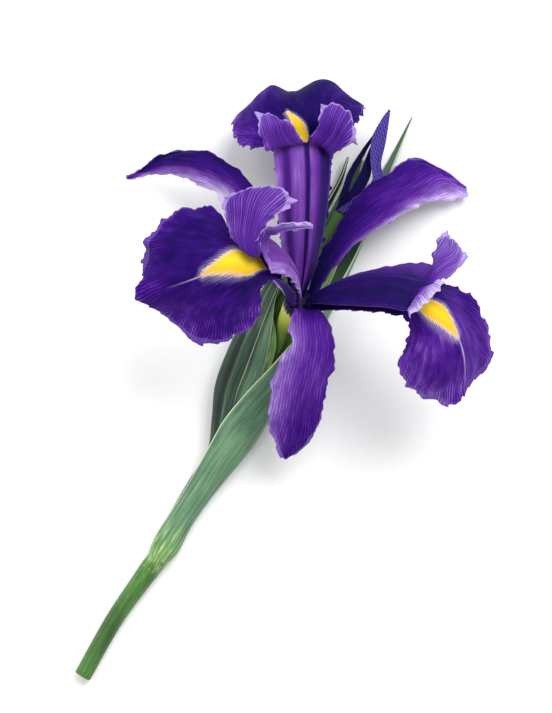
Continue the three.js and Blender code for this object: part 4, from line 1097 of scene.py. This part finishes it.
def bud_finish(name, tones, crimped):
    shade = new_finish(name)
    along, side = shade.notes("along", "x")
    lines = (side * 1.1 + shade.mottle(90) * 1.2).wave()
    folds = (along * 24 - side * 0.9 + shade.mottle(60) * 1.5).wave()
    grain = shade.mottle(2400, 2.0)
    # The light and dark bands that follow the crimps are painted light and shade on the folds.
    tone = 0.45 + (lines - 0.5) * 0.2 + (folds - 0.5) * crimped + (grain - 0.5) * 0.15
    colour = tone.ramp(tones)
    relief = lines * 0.3 + folds * crimped * 2 + grain * 0.3
    return surface(shade, colour, 0.55 + grain * 0.2, relief, 0.5, 0.0002, specular_ior_level=0.08,
                   subsurface_weight=0.05)


bud_navy = bud_finish("bud_navy", ["050226", "0c0738", "180f4e", "2a1f6c"], 0.05)
bud_violet = bud_finish("bud_violet", ["2b1f6c", "44358a", "6353a8", "8474c4"], 0.4)
bud_end = in_bundle(28.5, -1.6, 1.1)
for name, (seat, rows) in BUD_PETALS.items():
    clear = bud_end + stem_direction * RING_HEIGHT + (0, 0, seat)
    half = math.sqrt(BUD_TUBE_RADIUS ** 2 - seat ** 2)
    rows = [[clear + stem_side * u * half for u in (-1, 0, 1)], *np.reshape(rows, (-1, 3, 3))]
    grid = sheet_through(rows, along=170, across=48)
    along, across, out, end, x, y = places(grid, len(rows) - 1, 0)
    folded = name == "bud_petal_folded"
    crimp = 0.14 * np.sin(y * math.tau / 1.35 - x * 1.6) * smooth(1, 2, along) * (1 - 0.4 * out)
    grid = raised(grid, crimp * folded + 0.03 * np.cos(x * math.tau / 0.9) * (1 - out))
    notes = {"along": along / (len(rows) - 1), "x": x, "out": out}
    petal(name, "_skin", grid, notes, bud_violet if folded else bud_navy, "bud", 0.5)


# ---------------- table, light and camera
# The flower lies on a plain pale table under soft studio light, seen from straight above.

def table_finish():
    shade = new_finish("table_paint")
    grain = shade.mottle(300, 2.0)
    colour = grain.ramp(["fbfbfb", "ffffff"])
    return surface(shade, colour, 0.75 + grain * 0.1, grain, 0.02, 0.0001)


table = bpy.data.meshes.new("table")
table.from_pydata([(-3, -3, 0), (3, -3, 0), (3, 3, 0), (-3, 3, 0)], [], [(0, 1, 2, 3)])
table.materials.append(table_finish())
table_top = bpy.data.objects.new("table", table)
bpy.context.scene.collection.objects.link(table_top)


def soft_light(name, place, size, power, target=(0, 0, 0.03)):
    light = bpy.data.lights.new(name, "AREA")
    light.shape, light.size, light.energy = "DISK", size, power
    lamp = bpy.data.objects.new(name, light)
    lamp.location = place
    away = np.array(place) - np.array(target)
    lamp.rotation_mode = "QUATERNION"
    lamp.rotation_quaternion = Vector(away).to_track_quat("Z", "Y")
    bpy.context.scene.collection.objects.link(lamp)


soft_light("key", (0.5, 0.8, 1.3), 1.0, 20)
soft_light("fill", (-0.9, -0.4, 1.3), 1.6, 7)
soft_light("back", (-0.5, 1.0, 0.9), 0.7, 5)

world = bpy.data.worlds.new("studio")
world.use_nodes = True
world.node_tree.nodes["Background"].inputs["Color"].default_value = (1, 1, 1, 1)
world.node_tree.nodes["Background"].inputs["Strength"].default_value = 0.56
bpy.context.scene.world = world
bpy.context.scene.view_settings.view_transform = "Standard"

CAMERA_HEIGHT = 1.55
CAMERA_PLACE = np.array([-8.0, -18.0])
camera = bpy.data.cameras.new("above")
camera.lens, camera.sensor_width = 240, 36
camera.clip_start, camera.clip_end = 0.1, 20
eye = bpy.data.objects.new("above", camera)
eye.location = (*((CAMERA_PLACE + table_point[:2]) / 1000), CAMERA_HEIGHT)
bpy.context.scene.collection.objects.link(eye)
bpy.context.scene.camera = eye
